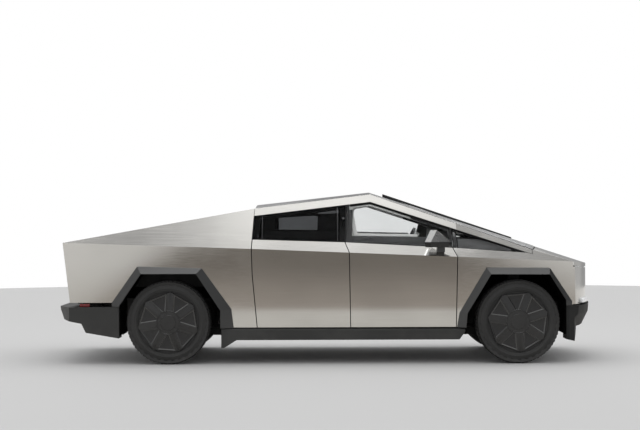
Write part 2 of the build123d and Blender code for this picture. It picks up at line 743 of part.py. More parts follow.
def door_mirror(side):
    """Wedge-shaped mirror head that folds about a pin in its foot on the door."""
    inner = mirror_y + 26.0
    outer = mirror_y + 206.0
    plan = [(mirror_x - 183.0, outer), (mirror_x - 110.0, inner), (mirror_x + 30.0, inner),
            (mirror_x + 115.0, mirror_y + 60.0), (mirror_x + 60.0, mirror_y + 150.0),
            (mirror_x - 40.0, outer)]
    outline = [(mirror_x - 183.0, 1258.0), (mirror_x - 75.0, mirror_high_z), (mirror_x - 32.0, mirror_high_z),
               (mirror_x + 115.0, 1262.0), (mirror_x + 70.0, mirror_low_z), (mirror_x - 120.0, mirror_low_z)]
    head = plan_prism(plan, mirror_low_z, mirror_high_z) & side_prism(outline, belt_half, FAR)
    neck = block(mirror_x - 34.0, mirror_x + 34.0, mirror_y - 24.0, mirror_y + 60.0,
                 mirror_low_z, mirror_low_z + 24.0)
    pin = post(mirror_x, mirror_y, mirror_low_z - 16.0, mirror_low_z + 8.0, mirror_pin_radius)
    return on_side(head + neck + pin, side)


def mirror_foot(side):
    """Bracket on the door that carries the mirror's pin."""
    foot = block(mirror_x - 40.0, mirror_x + 40.0, belt_half - 62.0, mirror_y + 20.0,
                 1160.0, mirror_low_z - seat_gap)
    foot = foot - inside(block(mirror_x - 90.0, mirror_x + 90.0, 300.0, FAR, 1000.0, 1400.0))
    foot = foot - post(mirror_x, mirror_y, mirror_low_z - 18.0, FAR, mirror_pin_radius + running_gap)
    return on_side(foot, side)


# ---------------------------------------------------------------- outer panels

def quarter_panels():
    """Bed sides: side wall, sloping sail on top and rear corner post, open for the wheel."""
    foot = panel_foot_z
    shut = [(rear_shut_low_x, door_bottom_z), (rear_shut_x + 7.0, shut_knee_z), (rear_shut_x, crease_rear_z),
            (rear_shut_top_x - 8.0, lerp(rail_line, rear_shut_top_x - 8.0))]
    shut = [(x - half_gap, z) for x, z in shut]
    outline = [(tail_low_x, foot), (tail_x, crease_tail_z), (rear_shut_top_x - half_gap, roof_rear_z - 1.0)]
    outline += list(reversed(shut)) + [(rear_axle_x + 560.0, door_bottom_z), (rear_axle_x + 560.0, foot)]
    panel = inside(side_prism(outline, bed_half + bed_wall + seat_gap, FAR))
    core_line = [(tail_low_x + panel_wall, foot - 50.0),
                 (tail_x + panel_wall, crease_tail_z - panel_wall - 8.0),
                 (rear_wall_x - 30.0, lerp(top_line, rear_wall_x - 30.0) - panel_wall - 6.0),
                 (rear_wall_x - 30.0, 200.0)]
    panel = panel - inside(side_prism(core_line, 0.0, FAR), panel_wall, panel_wall)
    panel = panel - inside(block(rear_wall_x - 40.0, FAR, 0.0, FAR, 0.0, FAR), wall_low, wall_up)
    panel = panel - side_prism(down_to_ground(shifted(rear_arch_out, rear_axle_x)), 0.0, FAR)
    x, z = tailgate_axis()
    ear_room = block(x - 22.0, x + 60.0, tailgate_half, tailgate_half + 30.0, z - 22.0, z + 22.0)
    return both(panel - tail_space() - ear_room)


def tail_space():
    """Room for the tailgate and its gap, on the left of the centre line."""
    low = panel_foot_z - 60.0
    high = crease_tail_z + 80.0
    room = tailgate_thick + 14.0
    line = [(tail_low_x - 120.0, low), (tail_x - 120.0, high), (tail_x + room, high),
            (tail_low_x + room, low)]
    return side_prism(line, -10.0, tailgate_half + 6.0)


def tailgate():
    """Raked slab between the rear corner posts, hinged along its lower edge."""
    low = panel_foot_z + 20.0
    rake = tail_rake / (crease_tail_z - panel_foot_z)
    shift = rake * (low - panel_foot_z)
    high = crease_tail_z - 2.0
    line = [(tail_low_x - shift, low), (tail_x, high), (tail_x + tailgate_thick, high),
            (tail_low_x - shift + tailgate_thick, low)]
    gate = side_prism(line, -tailgate_half, tailgate_half)
    return gate - axle_rod(*tailgate_axis(), -FAR, FAR, tailgate_pin_radius + running_gap)


def tailgate_axis():
    """(x, z) of the tailgate's hinge."""
    return tail_low_x + tailgate_thick / 2 + 4.0, panel_foot_z + 46.0


def bed_tub():
    """Open box of the load bed, with ears that carry the tailgate's pins."""
    x_high = rear_wall_x - 2.0
    x_low = tail_low_x + tailgate_thick + 16.0
    top = [(x_low, lerp(top_line, x_low) - tonneau_drop - tonneau_thick - seat_gap),
           (x_high, lerp(top_line, x_high) - tonneau_drop - tonneau_thick - seat_gap)]
    outer = bed_half + bed_wall
    under = bed_floor_z - bed_wall
    tub = side_prism([(x_low, under)] + top + [(x_high, under)], -outer, outer)
    tub = tub - block(x_low - 1.0, x_high - bed_wall, -bed_half, bed_half, bed_floor_z, FAR)
    beam = block(x_low, x_low + 60.0, 0.0, FAR, panel_foot_z - 10.0, under)
    beam = inside(beam, panel_wall + seat_gap, 0.0)
    rail = block(x_low, x_high, 340.0, 460.0, tower_z, under)
    foot = block(x_low, x_low + 40.0, 340.0, 460.0, bumper_top_z + seat_gap, under)
    tower = block(rear_axle_x - 70.0, rear_axle_x + 70.0, 340.0, tower_out, tower_z, under)
    x, z = tailgate_axis()
    ear = block(x - 20.0, x_low + 10.0, tailgate_half + 8.0, tailgate_half + 28.0, z - 20.0, z + 20.0)
    pin = axle_rod(x, z, tailgate_half - 24.0, tailgate_half + 28.0, tailgate_pin_radius)
    for piece in both(beam + rail + foot + tower + ear + pin).solids():
        tub = tub + piece
    return tub


def tonneau_cover():
    """Roller shutter over the bed, closed."""
    x_low = tail_x + tailgate_thick + 16.0
    x_high = rear_wall_x - 4.0
    top = [(x, lerp(top_line, x) - tonneau_drop) for x in (x_low, x_high)]
    half = bed_half + bed_wall - 2.0
    return side_prism(top + [(x, z - tonneau_thick) for x, z in reversed(top)], -half, half)


def front_fenders():
    """Front side panels, open for the wheel, from the door to the front corner."""
    shut = [(front_shut_low_x, door_bottom_z), (front_shut_x, crease_front_z),
            (front_shut_sill_x, sill_front_z)]
    shut = [(x + half_gap, z) for x, z in shut]
    outline = shut + [(cowl_x - 56.0, rail_line[2][1] - 2.0), (cowl_x, cowl_z - rail_tip_depth),
                      (cowl_x, cowl_z), (nose_x, crease_nose_z), (nose_x, panel_foot_z - 36.0),
                      (front_axle_x - 500.0, panel_foot_z - 36.0), (front_axle_x - 560.0, door_bottom_z)]
    panel = inside(side_prism(outline, 0.0, FAR))
    core = block(front_shut_low_x - 60.0, nose_x + 60.0, -1.0, FAR, 0.0, FAR)
    panel = panel - inside(core, panel_wall, panel_wall)
    ledge = hood_thick + hood_gap
    band = [(cowl_x - 2.0, cowl_z - ledge), (nose_x + 2.0, crease_nose_z - ledge), (nose_x + 2.0, cowl_z),
            (cowl_x - 2.0, cowl_z + 20.0)]
    panel = panel - (side_prism(band, -1.0, FAR) & hood_plan(pane_lip))
    hole = down_to_ground(shifted(front_arch_out, front_axle_x))
    return both(panel - side_prism(hole, 0.0, FAR))


def arch_flares():
    """Raised black bands round the wheel openings."""
    flares = []
    arches = [(rear_axle_x, rear_arch_in, rear_arch_out), (front_axle_x, front_arch_in, front_arch_out)]
    for axle_x, inner, outer in arches:
        low = min(outer[0][1], outer[-1][1])
        line = [(inner[0][0] + 10.0, low), (inner[0][0] + 10.0, outer[0][1] + 1.0)] + outer
        line += [(inner[-1][0] - 10.0, outer[-1][1] + 1.0), (inner[-1][0] - 10.0, low)]
        band = side_prism(shifted(line, axle_x), flare_back, flare_half)
        flares.append(both(band - side_prism(shifted(inner, axle_x), 0.0, FAR)))
    return flares


def wheel_liners():
    """Thin arches inside the flares, with a wall behind the wheel above the wishbones."""
    pieces = []
    arches = [(rear_axle_x, rear_arch_in, bed_half + bed_wall + seat_gap, tower_out + 1.0, tower_z,
               bed_floor_z - bed_wall - seat_gap),
              (front_axle_x, front_arch_in, 470.0, 470.0, 620.0, front_arch_in[2][1] + 1.0)]
    for axle_x, inner, depth, wall_y, wall_low_z, wall_high_z in arches:
        line = shifted(inner, axle_x)
        outer = [(line[0][0] - liner_wall, 300.0), (line[1][0] - liner_wall, line[1][1] + 2.0),
                 (line[2][0] - 4.0, line[2][1] + liner_wall), (line[3][0] + 4.0, line[3][1] + liner_wall),
                 (line[4][0] + liner_wall, line[4][1] + 2.0), (line[5][0] + liner_wall, 300.0)]
        liner = side_prism(outer, depth, flare_back - seat_gap) - side_prism(line, 0.0, FAR)
        back = side_prism(outer, wall_y, wall_y + liner_wall)
        back = back & block(-FAR, FAR, 0.0, FAR, wall_low_z, wall_high_z)
        liner = liner + back
        slot = block(front_axle_x - 62.0, front_axle_x + 62.0, tower_in - 2.0, tower_out + 2.0, tower_z, FAR)
        pieces.append(both(liner - slot))
    return pieces


def rocker_panels():
    """Black sills below the doors, with the deflector ahead of each rear wheel."""
    x_low = rear_axle_x + rear_arch_in[4][0] + liner_wall + seat_gap
    x_high = front_axle_x + front_arch_in[0][0] - liner_wall - seat_gap
    low = 250.0
    outline = [(x_low, door_bottom_z - 12.0), (x_high, door_bottom_z - 18.0), (x_high, 331.0),
               (x_high - 60.0, low), (x_low + 160.0, low), (x_low + 30.0, 168.0), (x_low, 168.0)]
    return both(side_prism(outline, battery_half + seat_gap, belt_half - 11.0))


def hood_top_z(x):
    """Height of the hood on the centre line, in line with the windscreen."""
    slope = (crown_z(apex_x) - crown_z(cowl_x)) / (cowl_x - apex_x)
    return crown_z(cowl_x) - slope * (x - cowl_x)


def hood_plan(inset):
    """Upright prism between the fenders' top edges, moved inwards."""
    ends = [(cowl_x, edge_half(cowl_x) - inset), (nose_x, edge_half(nose_x) - inset)]
    line = [(x, lerp(ends, x)) for x in (cowl_x - 100.0, nose_x + nose_bow + 100.0)]
    return plan_prism(line + [(x, -y) for x, y in reversed(line)], 0.0, FAR)


def hood_slab():
    """Crowned slab that the hood is cut from, its surface flattening towards the nose."""
    sections = []
    for x, radius in ((cowl_x - 30.0, crown_radius), (nose_x + nose_bow + 40.0, nose_crown_radius)):
        top = hood_top_z(x)
        drop = belt_half ** 2 / (2 * radius)
        upper = ThreePointArc((x, -belt_half, top - drop), (x, 0, top), (x, belt_half, top - drop))
        lower = ThreePointArc((x, belt_half, top - drop - hood_thick), (x, 0, top - hood_thick),
                              (x, -belt_half, top - drop - hood_thick))
        left = Line((x, belt_half, top - drop), (x, belt_half, top - drop - hood_thick))
        right = Line((x, -belt_half, top - drop - hood_thick), (x, -belt_half, top - drop))
        sections.append(make_face([upper, left, lower, right]))
    return loft(sections, ruled=True)


def hood():
    """Front lid, flush with the windscreen and between the fenders."""
    slab = hood_slab() & post(nose_centre_x, 0, 0.0, FAR, nose_radius)
    slab = slab - cowl_cut(hood_gap)
    return slab & hood_plan(pane_lip + hood_gap)


def front_fascia():
    """Bowed panel below the hood's lip, between the front corners."""
    outer = post(nose_centre_x, 0, panel_foot_z - 34.0, 1400.0, nose_radius - 1.0)
    inner = post(nose_centre_x, 0, 0.0, 1500.0, nose_radius - fascia_depth)
    ring = (outer - inner) & block(nose_x - 200.0, FAR, -BIG, BIG, 0.0, FAR)
    lid_z = hood_top_z(nose_x) - hood_thick - 12.0
    tip_x = nose_x + nose_bow + 10.0
    line = [(nose_x - 220.0, 0.0), (nose_x - 220.0, lid_z - 20.0), (nose_x, lid_z - 50.0),
            (tip_x, hood_top_z(tip_x) - hood_thick - 8.0), (tip_x, 0.0)]
    ring = (ring & side_prism(line, -FAR, FAR)) - Pos(0, 0, -hood_room) * hood_slab()
    return whole(inside(left_half(ring), panel_wall + seat_gap, panel_wall + seat_gap))


def front_bumper():
    """Bowed bumper with a sloping chin and deeper corners ahead of the wheels."""
    tip = nose_radius + front_end_x - (nose_x + nose_bow)
    back = tip - 146.0
    profile = [(tip, bumper_top_z), (tip - 7.0, 506.0), (tip - 73.0, 369.0), (back, 345.0),
               (back, bumper_top_z)]
    wire = Polyline([(r, 0, z) for r, z in profile], close=True)
    arc = degrees(asin(0.99 * belt_half / nose_radius))
    ring = revolve(make_face(wire), Axis.Z, 2 * arc)
    ring = Pos(nose_centre_x, 0, 0) * Rot(0, 0, -arc) * ring

    edge_x = front_axle_x + front_arch_in[4][0] + liner_wall + seat_gap
    side_y = belt_half - 2.0
    turn = (nose_x - 50.0, belt_half - 10.0)
    inner_y = nose_half - 175.0
    corner = [(nose_x + 16.0, nose_half - 11.0), turn, (edge_x, side_y)]
    corner += [(edge_x, inner_y), (nose_x + 60.0, inner_y)]
    chin = [(edge_x, 250.0), (edge_x + 100.0, 225.0), (nose_x + 55.0, 338.0), (nose_x + 60.0, bumper_top_z),
            (edge_x, bumper_top_z)]
    cheek = plan_prism(corner, 225.0, bumper_top_z) & side_prism(chin, 0.0, FAR)
    end_y = nose_half - 50.0
    keep = [(edge_x, 0.0), (edge_x, side_y), turn, (nose_x + 60.0, end_y), (FAR, end_y), (FAR, 0.0)]
    return whole((left_half(ring) & plan_prism(keep, 0.0, FAR)) + cheek)


def rear_bumper():
    """Step bumper with side wings that run to the rear wheels, and a tow receiver."""
    half = 700.0
    wing_x = rear_axle_x + rear_arch_in[0][0] - liner_wall - seat_gap
    corner_y = tail_half + 35.0
    wing_y = belt_half + 5.0
    plan = [(rear_end_x, -half), (rear_end_x, half), (tail_low_x, corner_y), (wing_x, wing_y),
            (wing_x, -wing_y), (tail_low_x, -corner_y)]
    side = [(rear_end_x, bumper_top_z), (rear_end_x + 6.0, 560.0), (rear_end_x + 60.0, 464.0),
            (tail_low_x + 130.0, 425.0), (tail_low_x + 174.0, 332.0), (wing_x, 273.0), (wing_x, bumper_top_z)]
    beam_x = tail_low_x + 100.0
    bumper = plan_prism(plan, 250.0, bumper_top_z) & side_prism(side, -FAR, FAR)
    bumper = bumper - block(beam_x, FAR, -780.0, 780.0, 0.0, FAR)
    tube = receiver_half + 14.6
    bumper = bumper + block(rear_end_x + 20.0, beam_x + 160.0, -tube, tube,
                            receiver_z - tube, receiver_z + tube)
    socket = block(rear_end_x - 5.0, beam_x + 130.0, -receiver_half, receiver_half,
                   receiver_z - receiver_half, receiver_z + receiver_half)
    return bumper - socket - axle_rod(rear_end_x + 70.0, receiver_z, -60.0, 60.0, hitch_pin_radius)


# ---------------------------------------------------------------- front structure and cabin fittings

def front_structure():
    """Upper rails, spring towers, crossmember and cowl tray that carry the fenders and hood."""
    low = front_arch_in[2][1] + 12.0
    high = low + 47.0
    (x0, z0), (x1, z1) = cowl_underside
    start = [x0 + (z - z0) * (x1 - x0) / (z1 - z0) + 1.0 for z in (low, high)]
    line = [(start[0], low), (start[1], high), (nose_x - 30.0, high), (nose_x - 30.0, cross_low_z),
            (nose_x - 76.0, cross_low_z), (nose_x - 76.0, low)]
    rail = inside(side_prism(line, 790.0, FAR), panel_wall + seat_gap, panel_wall + seat_gap)
    bridge = block(front_axle_x - 60.0, front_axle_x + 60.0, 0.0, FAR, low, high)
    bridge = inside(bridge, panel_wall + seat_gap, 0.0)
    tower = block(front_axle_x - 60.0, front_axle_x + 60.0, tower_in, tower_out, tower_z, high)
    cross = block(nose_x - 76.0, nose_x - 30.0, 0.0, 800.0, cross_low_z, cross_low_z + 50.0)
    beam = block(front_axle_x + 200.0, nose_x - 30.0, 380.0, 440.0, 560.0, cross_low_z + 50.0)
    link = block(front_axle_x + 200.0, front_axle_x + 260.0, 240.0, 440.0, 330.0, cross_low_z + 50.0)
    tray = block(cowl_x - 112.0, cowl_x - 62.0, 0.0, 800.0, low, 1080.0)
    stop = post(nose_x - 53.0, 690.0, high - 10.0, cowl_z, 12.0) - Pos(0, 0, -seat_gap) * hood()
    stop = min(stop.solids(), key=lambda solid: solid.center().Z)
    shelf = block(nose_x - 76.0, nose_x - 30.0, 660.0, 860.0, low, high)
    room = post(nose_centre_x, 0, 0.0, FAR, nose_radius - fascia_depth - seat_gap)
    return whole((rail + bridge + tower + cross + beam + link + tray + stop + shelf) & room)


def front_trunk_tub():
    """Open box under the hood."""
    x_low = cowl_x - 20.0
    x_high = nose_x + 100.0
    low = cross_low_z + 50.0 + seat_gap
    tub = block(x_low, x_high, -455.0, 455.0, low, 985.0)
    return tub - block(x_low + 10.0, x_high - 10.0, -445.0, 445.0, low + 12.0, 1000.0)


def dashboard():
    """Long slab dash under the windscreen, with the steering column and its cowl."""
    x_low = front_shut_x - 330.0
    x_high = cowl_x - 240.0
    toe_x = dash_floor[0][0] - seat_gap
    outline = [(x_low, 900.0), (x_low, 1120.0), (x_low + 60.0, 1150.0), (x_high - 150.0, 1160.0),
               (x_high, 1120.0), (x_high, lerp(dash_floor, x_high) + seat_gap),
               (toe_x, dash_floor[0][1] + seat_gap), (toe_x, 900.0)]
    slab = side_prism(outline, -755.0, 755.0)
    column = steering_plane(-140.0) * extrude(Circle(30.0), amount=120.0)
    driver_y = wheel_centre[1]
    cowl = block(x_low + 15.0, x_low + 170.0, driver_y - 80.0, driver_y + 80.0, 1100.0, 1236.0)
    return slab + cowl + column


wheel_centre = (front_shut_x - 405.0, 400.0, 1260.0)
column_rake = 24.0


def steering_plane(along):
    """Plane across the steering column, facing the driver."""
    way = (-cos(radians(column_rake)), 0, sin(radians(column_rake)))
    plane = Plane(origin=wheel_centre, x_dir=(0, 1, 0), z_dir=way)
    return plane.offset(along)


def steering_wheel():
    """Squircle rim with one spoke bar and a hub on the column."""
    rim_face = RectangleRounded(370.0, 300.0, 120.0) - RectangleRounded(314.0, 244.0, 92.0)
    ring = extrude(rim_face, amount=26.0)
    bar = extrude(Rectangle(330.0, 60.0), amount=24.0)
    hub = Pos(0, 0, -20.0 + seat_gap) * extrude(Circle(52.0), amount=36.0 - seat_gap)
    return steering_plane(0.0) * (ring + bar + hub)


def seat(x, y, width):
    """One seat: base, cushion and raked back, as a plain closed solid."""
    half = width / 2
    outline = [(x - 230.0, 600.0), (x + 290.0, 630.0), (x + 290.0, 770.0), (x - 130.0, 730.0),
               (x - 300.0, 1290.0), (x - 410.0, 1270.0)]
    body = side_prism(outline, y - half, y + half)
    foot = block(x - 200.0, x + 220.0, y - half + 60.0, y + half - 60.0, floor_z + floor_thick, 610.0)
    return body + foot


def front_seats():
    """Two seats behind the dash."""
    x = mid_shut_x + 330.0
    return [seat(x, 400.0, 500.0), seat(x, -400.0, 500.0)]


def rear_bench():
    """Full-width bench against the bulkhead."""
    return seat(rear_shut_x + 415.0, 0.0, 1340.0)


def wiper():
    """Single long arm and blade on the left of the windscreen."""
    start, end = (Vector(x, y, glass_top(x, y) + 14.0)
                  for x, y in ((cowl_x - 8.0, 640.0), (apex_x + 260.0, 400.0)))
    way = end - start
    plane = Plane(origin=start, x_dir=(0, 1, 0), z_dir=way)
    arm = extrude(plane * Rectangle(26.0, 20.0), amount=way.length)
    pivot = post(start.X, start.Y, start.Z - 26.0, start.Z + 12.0, 22.0) - Pos(0, 0, seat_gap) * windscreen()
    return arm + max(pivot.solids(), key=lambda solid: solid.center().Z)


def glass_top(x, y):
    """Height of the windscreen's outer face."""
    ends = [(x_end, crown_z(x_end)) for x_end in (apex_x + 4.0, cowl_x + cowl_bow)]
    return lerp(ends, x) - 1.05 * y ** 2 / (2 * crown_radius)


# ---------------------------------------------------------------- write every node

corners = [("front_left", front_axle_x, 1), ("front_right", front_axle_x, -1),
           ("rear_left", rear_axle_x, 1), ("rear_right", rear_axle_x, -1)]
for name, axle_x, side in corners:
    save("tyre_" + name, tyre(axle_x, side))
    save("rim_" + name, rim(axle_x, side))
    save("knuckle_" + name, knuckle(axle_x, side))
    save("door_" + name, door(axle_x == front_axle_x, side))
    save("glass_" + name, door_glass(axle_x == front_axle_x, side))
for name, side in (("left", 1), ("right", -1)):
    save("mirror_" + name, door_mirror(side))
    save("mirror_foot_" + name, mirror_foot(side))

save("suspension_arms", *suspension_arms())
save("air_springs", *springs())
save("drive_units", *drive_units())
save("half_shafts", *half_shafts())
save("subframes", *subframes())
save("battery_pack", battery_pack())
save("cabin_frame", cabin_frame())
save("cant_rails", cant_rails())
save("windscreen", windscreen())
save("roof_glass", roof_glass())
save("quarter_windows", quarter_windows())
save("quarter_panels", quarter_panels())
save("front_fenders", front_fenders())
save("arch_flares", *arch_flares())
save("wheel_liners", *wheel_liners())
save("rocker_panels", rocker_panels())
save("hood", hood())
save("front_fascia", front_fascia())
save("front_bumper", front_bumper())
save("rear_bumper", rear_bumper())
save("tailgate", tailgate())
save("bed_tub", bed_tub())
save("tonneau_cover", tonneau_cover())
save("front_structure", front_structure())
save("front_trunk_tub", front_trunk_tub())
save("dashboard", dashboard())
save("steering_wheel", steering_wheel())
save("front_seats", *front_seats())
save("rear_bench", rear_bench())
save("wiper", wiper())
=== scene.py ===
import json
from math import cos, pi, radians, sin, sqrt

import bmesh
import bpy
from mathutils import Matrix, Vector

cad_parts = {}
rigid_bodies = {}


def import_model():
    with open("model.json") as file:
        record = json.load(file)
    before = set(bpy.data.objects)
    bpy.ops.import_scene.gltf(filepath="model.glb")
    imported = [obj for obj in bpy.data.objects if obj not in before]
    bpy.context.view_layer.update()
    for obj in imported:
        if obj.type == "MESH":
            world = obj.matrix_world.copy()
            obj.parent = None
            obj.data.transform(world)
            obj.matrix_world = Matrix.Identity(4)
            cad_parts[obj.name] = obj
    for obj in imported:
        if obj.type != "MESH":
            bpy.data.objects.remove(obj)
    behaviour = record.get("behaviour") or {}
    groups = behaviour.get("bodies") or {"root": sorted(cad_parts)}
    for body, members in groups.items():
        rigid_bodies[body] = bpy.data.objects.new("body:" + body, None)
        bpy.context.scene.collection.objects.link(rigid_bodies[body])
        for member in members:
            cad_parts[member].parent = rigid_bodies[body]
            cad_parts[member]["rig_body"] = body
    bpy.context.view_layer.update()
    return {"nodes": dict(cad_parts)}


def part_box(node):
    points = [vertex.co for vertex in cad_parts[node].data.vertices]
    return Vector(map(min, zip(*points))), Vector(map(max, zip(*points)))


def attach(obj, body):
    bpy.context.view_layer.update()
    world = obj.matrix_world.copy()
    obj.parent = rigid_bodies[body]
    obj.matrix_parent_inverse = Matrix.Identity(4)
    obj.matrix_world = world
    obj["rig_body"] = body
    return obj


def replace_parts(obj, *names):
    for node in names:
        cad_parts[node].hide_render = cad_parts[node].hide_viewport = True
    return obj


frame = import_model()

nodes = frame["nodes"]
corners = ("front_left", "front_right", "rear_left", "rear_right")


# ------------------------------------------------------------------ studio
# A round pale floor in a white room, with one wide soft lamp overhead.  Reflections see more than
# the camera does: grey walls, softboxes over the truck, and a darker strip of floor to each side
# that is a painted reflection, a colour the floor shows only to reflections.

floor_radius = 16.5
floor_pale = (0.53, 0.53, 0.53, 1.0)          # as the camera sees it
# Painted reflections: colours the floor shows only to polished panels, never to the camera.
reflected_pale_near = (0.56, 0.545, 0.52, 1.0)    # as polished panels see it, close by and far off
reflected_pale_far = (0.66, 0.65, 0.635, 1.0)
reflected_dark_near = (0.300, 0.268, 0.238, 1.0)
reflected_dark_far = (0.150, 0.133, 0.116, 1.0)
dark_start = 4.40               # where the painted dark reflection on the floor begins, out from the middle
dark_end = 9.6
dark_rear = -3.3
dark_front = 3.9


def new_material(name):
    """A material with its node tree, and its Principled shader."""
    material = bpy.data.materials.new(name)
    material.use_nodes = True
    return material, material.node_tree.nodes, material.node_tree.links, material.node_tree.nodes["Principled BSDF"]


def math_node(tree, operation, *values):
    """A math node with its inputs linked or set, and its output."""
    node = tree.nodes.new("ShaderNodeMath")
    node.operation = operation
    for socket, value in zip(node.inputs, values):
        if hasattr(value, "is_output"):
            tree.links.new(value, socket)
        else:
            socket.default_value = value
    return node.outputs[0]


def ramp(tree, value, low, high, out_low=0.0, out_high=1.0):
    """A smooth step of a value between two limits."""
    node = tree.nodes.new("ShaderNodeMapRange")
    node.interpolation_type = "SMOOTHSTEP"
    tree.links.new(value, node.inputs["Value"])
    node.inputs["From Min"].default_value = low
    node.inputs["From Max"].default_value = high
    node.inputs["To Min"].default_value = out_low
    node.inputs["To Max"].default_value = out_high
    return node.outputs["Result"]


def axes_of(tree, kind="Object"):
    """Object coordinates, or another kind, with one socket for each axis."""
    place = tree.nodes.new("ShaderNodeTexCoord")
    axes = tree.nodes.new("ShaderNodeSeparateXYZ")
    tree.links.new(place.outputs[kind], axes.inputs[0])
    return axes.outputs


def blend_colours(tree, factor, first, second):
    """A colour that goes from the first to the second as the factor rises."""
    node = tree.nodes.new("ShaderNodeMix")
    node.data_type = "RGBA"
    for socket, value in zip((node.inputs[0], node.inputs[6], node.inputs[7]), (factor, first, second)):
        if hasattr(value, "is_output"):
            tree.links.new(value, socket)
        else:
            socket.default_value = value
    return node.outputs[2]


bpy.ops.object.select_all(action="DESELECT")
bpy.ops.mesh.primitive_circle_add(vertices=160, radius=floor_radius, fill_type="NGON")
floor = bpy.context.object
floor.name = "studio_floor"
floor_material, parts, links, shader = new_material("studio_floor")
tree = floor_material.node_tree
floor_axes = axes_of(tree)
outward = math_node(tree, "ABSOLUTE", floor_axes["Y"])
ahead = ramp(tree, outward, dark_start, dark_start + 0.12)
beside = math_node(tree, "MULTIPLY", ramp(tree, floor_axes["X"], dark_rear - 0.55, dark_rear + 0.35),
                   ramp(tree, floor_axes["X"], dark_front + 0.9, dark_front - 0.9))
# The floor's colour for reflections is painted: pale, with a darker painted reflection in a strip to each side.
light_path = parts.new("ShaderNodeLightPath")
painted_dark_reflection = blend_colours(tree, ramp(tree, outward, dark_start, dark_end), reflected_dark_near, reflected_dark_far)
painted_pale_reflection = blend_colours(tree, ramp(tree, outward, dark_start, dark_end), reflected_pale_near, reflected_pale_far)
painted_floor_reflection = blend_colours(tree, math_node(tree, "MULTIPLY", ahead, beside), painted_pale_reflection, painted_dark_reflection)
links.new(blend_colours(tree, light_path.outputs["Is Glossy Ray"], floor_pale, painted_floor_reflection), shader.inputs["Base Color"])
shader.inputs["Roughness"].default_value = 0.75
shader.inputs["Specular IOR Level"].default_value = 0.1
floor.data.materials.append(floor_material)

world = bpy.data.worlds.new("studio_sky")
bpy.context.scene.world = world
world.use_nodes = True
tree = world.node_tree
parts, links = tree.nodes, tree.links
axes = axes_of(tree, "Generated")
light_path = parts.new("ShaderNodeLightPath").outputs
height = math_node(tree, "MAXIMUM", axes["Z"], 0.05)
along = math_node(tree, "DIVIDE", axes["X"], height)                                # how far along a ceiling 1 m up
across = math_node(tree, "DIVIDE", math_node(tree, "ABSOLUTE", axes["Y"]), height)  # and how far to either side
walls = ramp(tree, axes["Z"], 0.05, 0.45, 0.80, 0.46)                               # paler low down
walls = math_node(tree, "ADD", walls, ramp(tree, along, -0.16, -0.21, 0.0, 0.12))   # and towards the rear
low_down = ramp(tree, axes["Z"], 0.20, 0.10)
far_side = math_node(tree, "MULTIPLY", ramp(tree, axes["X"], 0.68, 0.50, 0.0, 0.18), ramp(tree, axes["Y"], 0.5, 0.8))
behind = math_node(tree, "ADD", ramp(tree, axes["Y"], 0.2, 0.5, 0.0, 0.26), far_side)
behind = math_node(tree, "MULTIPLY", behind, low_down)                              # darker beyond the truck
forward = math_node(tree, "MULTIPLY", ramp(tree, axes["X"], 0.60, 0.78, 0.0, 0.48), ramp(tree, axes["Y"], 0.3, 0.1))
walls = math_node(tree, "SUBTRACT", walls, math_node(tree, "MAXIMUM", behind, forward))
softbox = math_node(tree, "MULTIPLY", ramp(tree, along, -0.135, -0.075), ramp(tree, along, 0.24, 0.11))
softbox = math_node(tree, "MULTIPLY", softbox, ramp(tree, across, 0.85, 0.62))
softbox_level = ramp(tree, across, 0.56, 0.515, 0.92, 1.33)
lift = math_node(tree, "MULTIPLY", softbox, math_node(tree, "SUBTRACT", softbox_level, walls))
overhead = math_node(tree, "MULTIPLY", ramp(tree, across, 0.46, 0.32),
                     ramp(tree, math_node(tree, "ABSOLUTE", along), 0.5, 0.35, 0.0, 3.4))
flank = math_node(tree, "MULTIPLY", ramp(tree, across, 0.66, 0.74), ramp(tree, across, 1.15, 0.95, 0.0, 0.85))
lift = math_node(tree, "ADD", math_node(tree, "ADD", lift, overhead), flank)
seen = math_node(tree, "MAXIMUM", light_path["Is Camera Ray"], light_path["Is Transmission Ray"])
level = math_node(tree, "MAXIMUM", seen, math_node(tree, "ADD", walls, lift))
level = math_node(tree, "MULTIPLY", level, math_node(tree, "SUBTRACT", 1.0, light_path["Is Diffuse Ray"]))
links.new(math_node(tree, "ADD", level, light_path["Is Diffuse Ray"]), parts["Background"].inputs["Strength"])
parts["Background"].inputs["Color"].default_value = (1.0, 1.0, 1.0, 1.0)

bpy.ops.object.light_add(type="AREA", location=(0.4, 0.9, 5.2))
lamp = bpy.context.object
lamp.name = "overhead_softbox"
lamp.data.shape = "RECTANGLE"
lamp.data.size = 5.0
lamp.data.size_y = 3.2
lamp.data.energy = 60.0
lamp.rotation_euler = (radians(6.0), 0.0, 0.0)
lamp.visible_glossy = False

eye = Vector((-0.0936, -16.0, 1.548))
eye_roll = 0.0035
bpy.ops.object.camera_add(location=eye, rotation=(pi / 2, eye_roll, 0.0))
camera = bpy.context.object
camera.name = "camera"
camera.data.sensor_width = 36.0
camera.data.lens = 81.34
bpy.context.scene.camera = camera
bpy.context.scene.view_settings.view_transform = "Standard"


# ------------------------------------------------------------------ brushed steel panels
# Doors, fenders, bed sides, cant rails, hood and tailgate are unpainted rolled stainless sheet,
# laser cut and folded, with a fine lengthwise grain.  Behind the skin a door is a dark shell, with
# pale cloth over the top of its window frame.

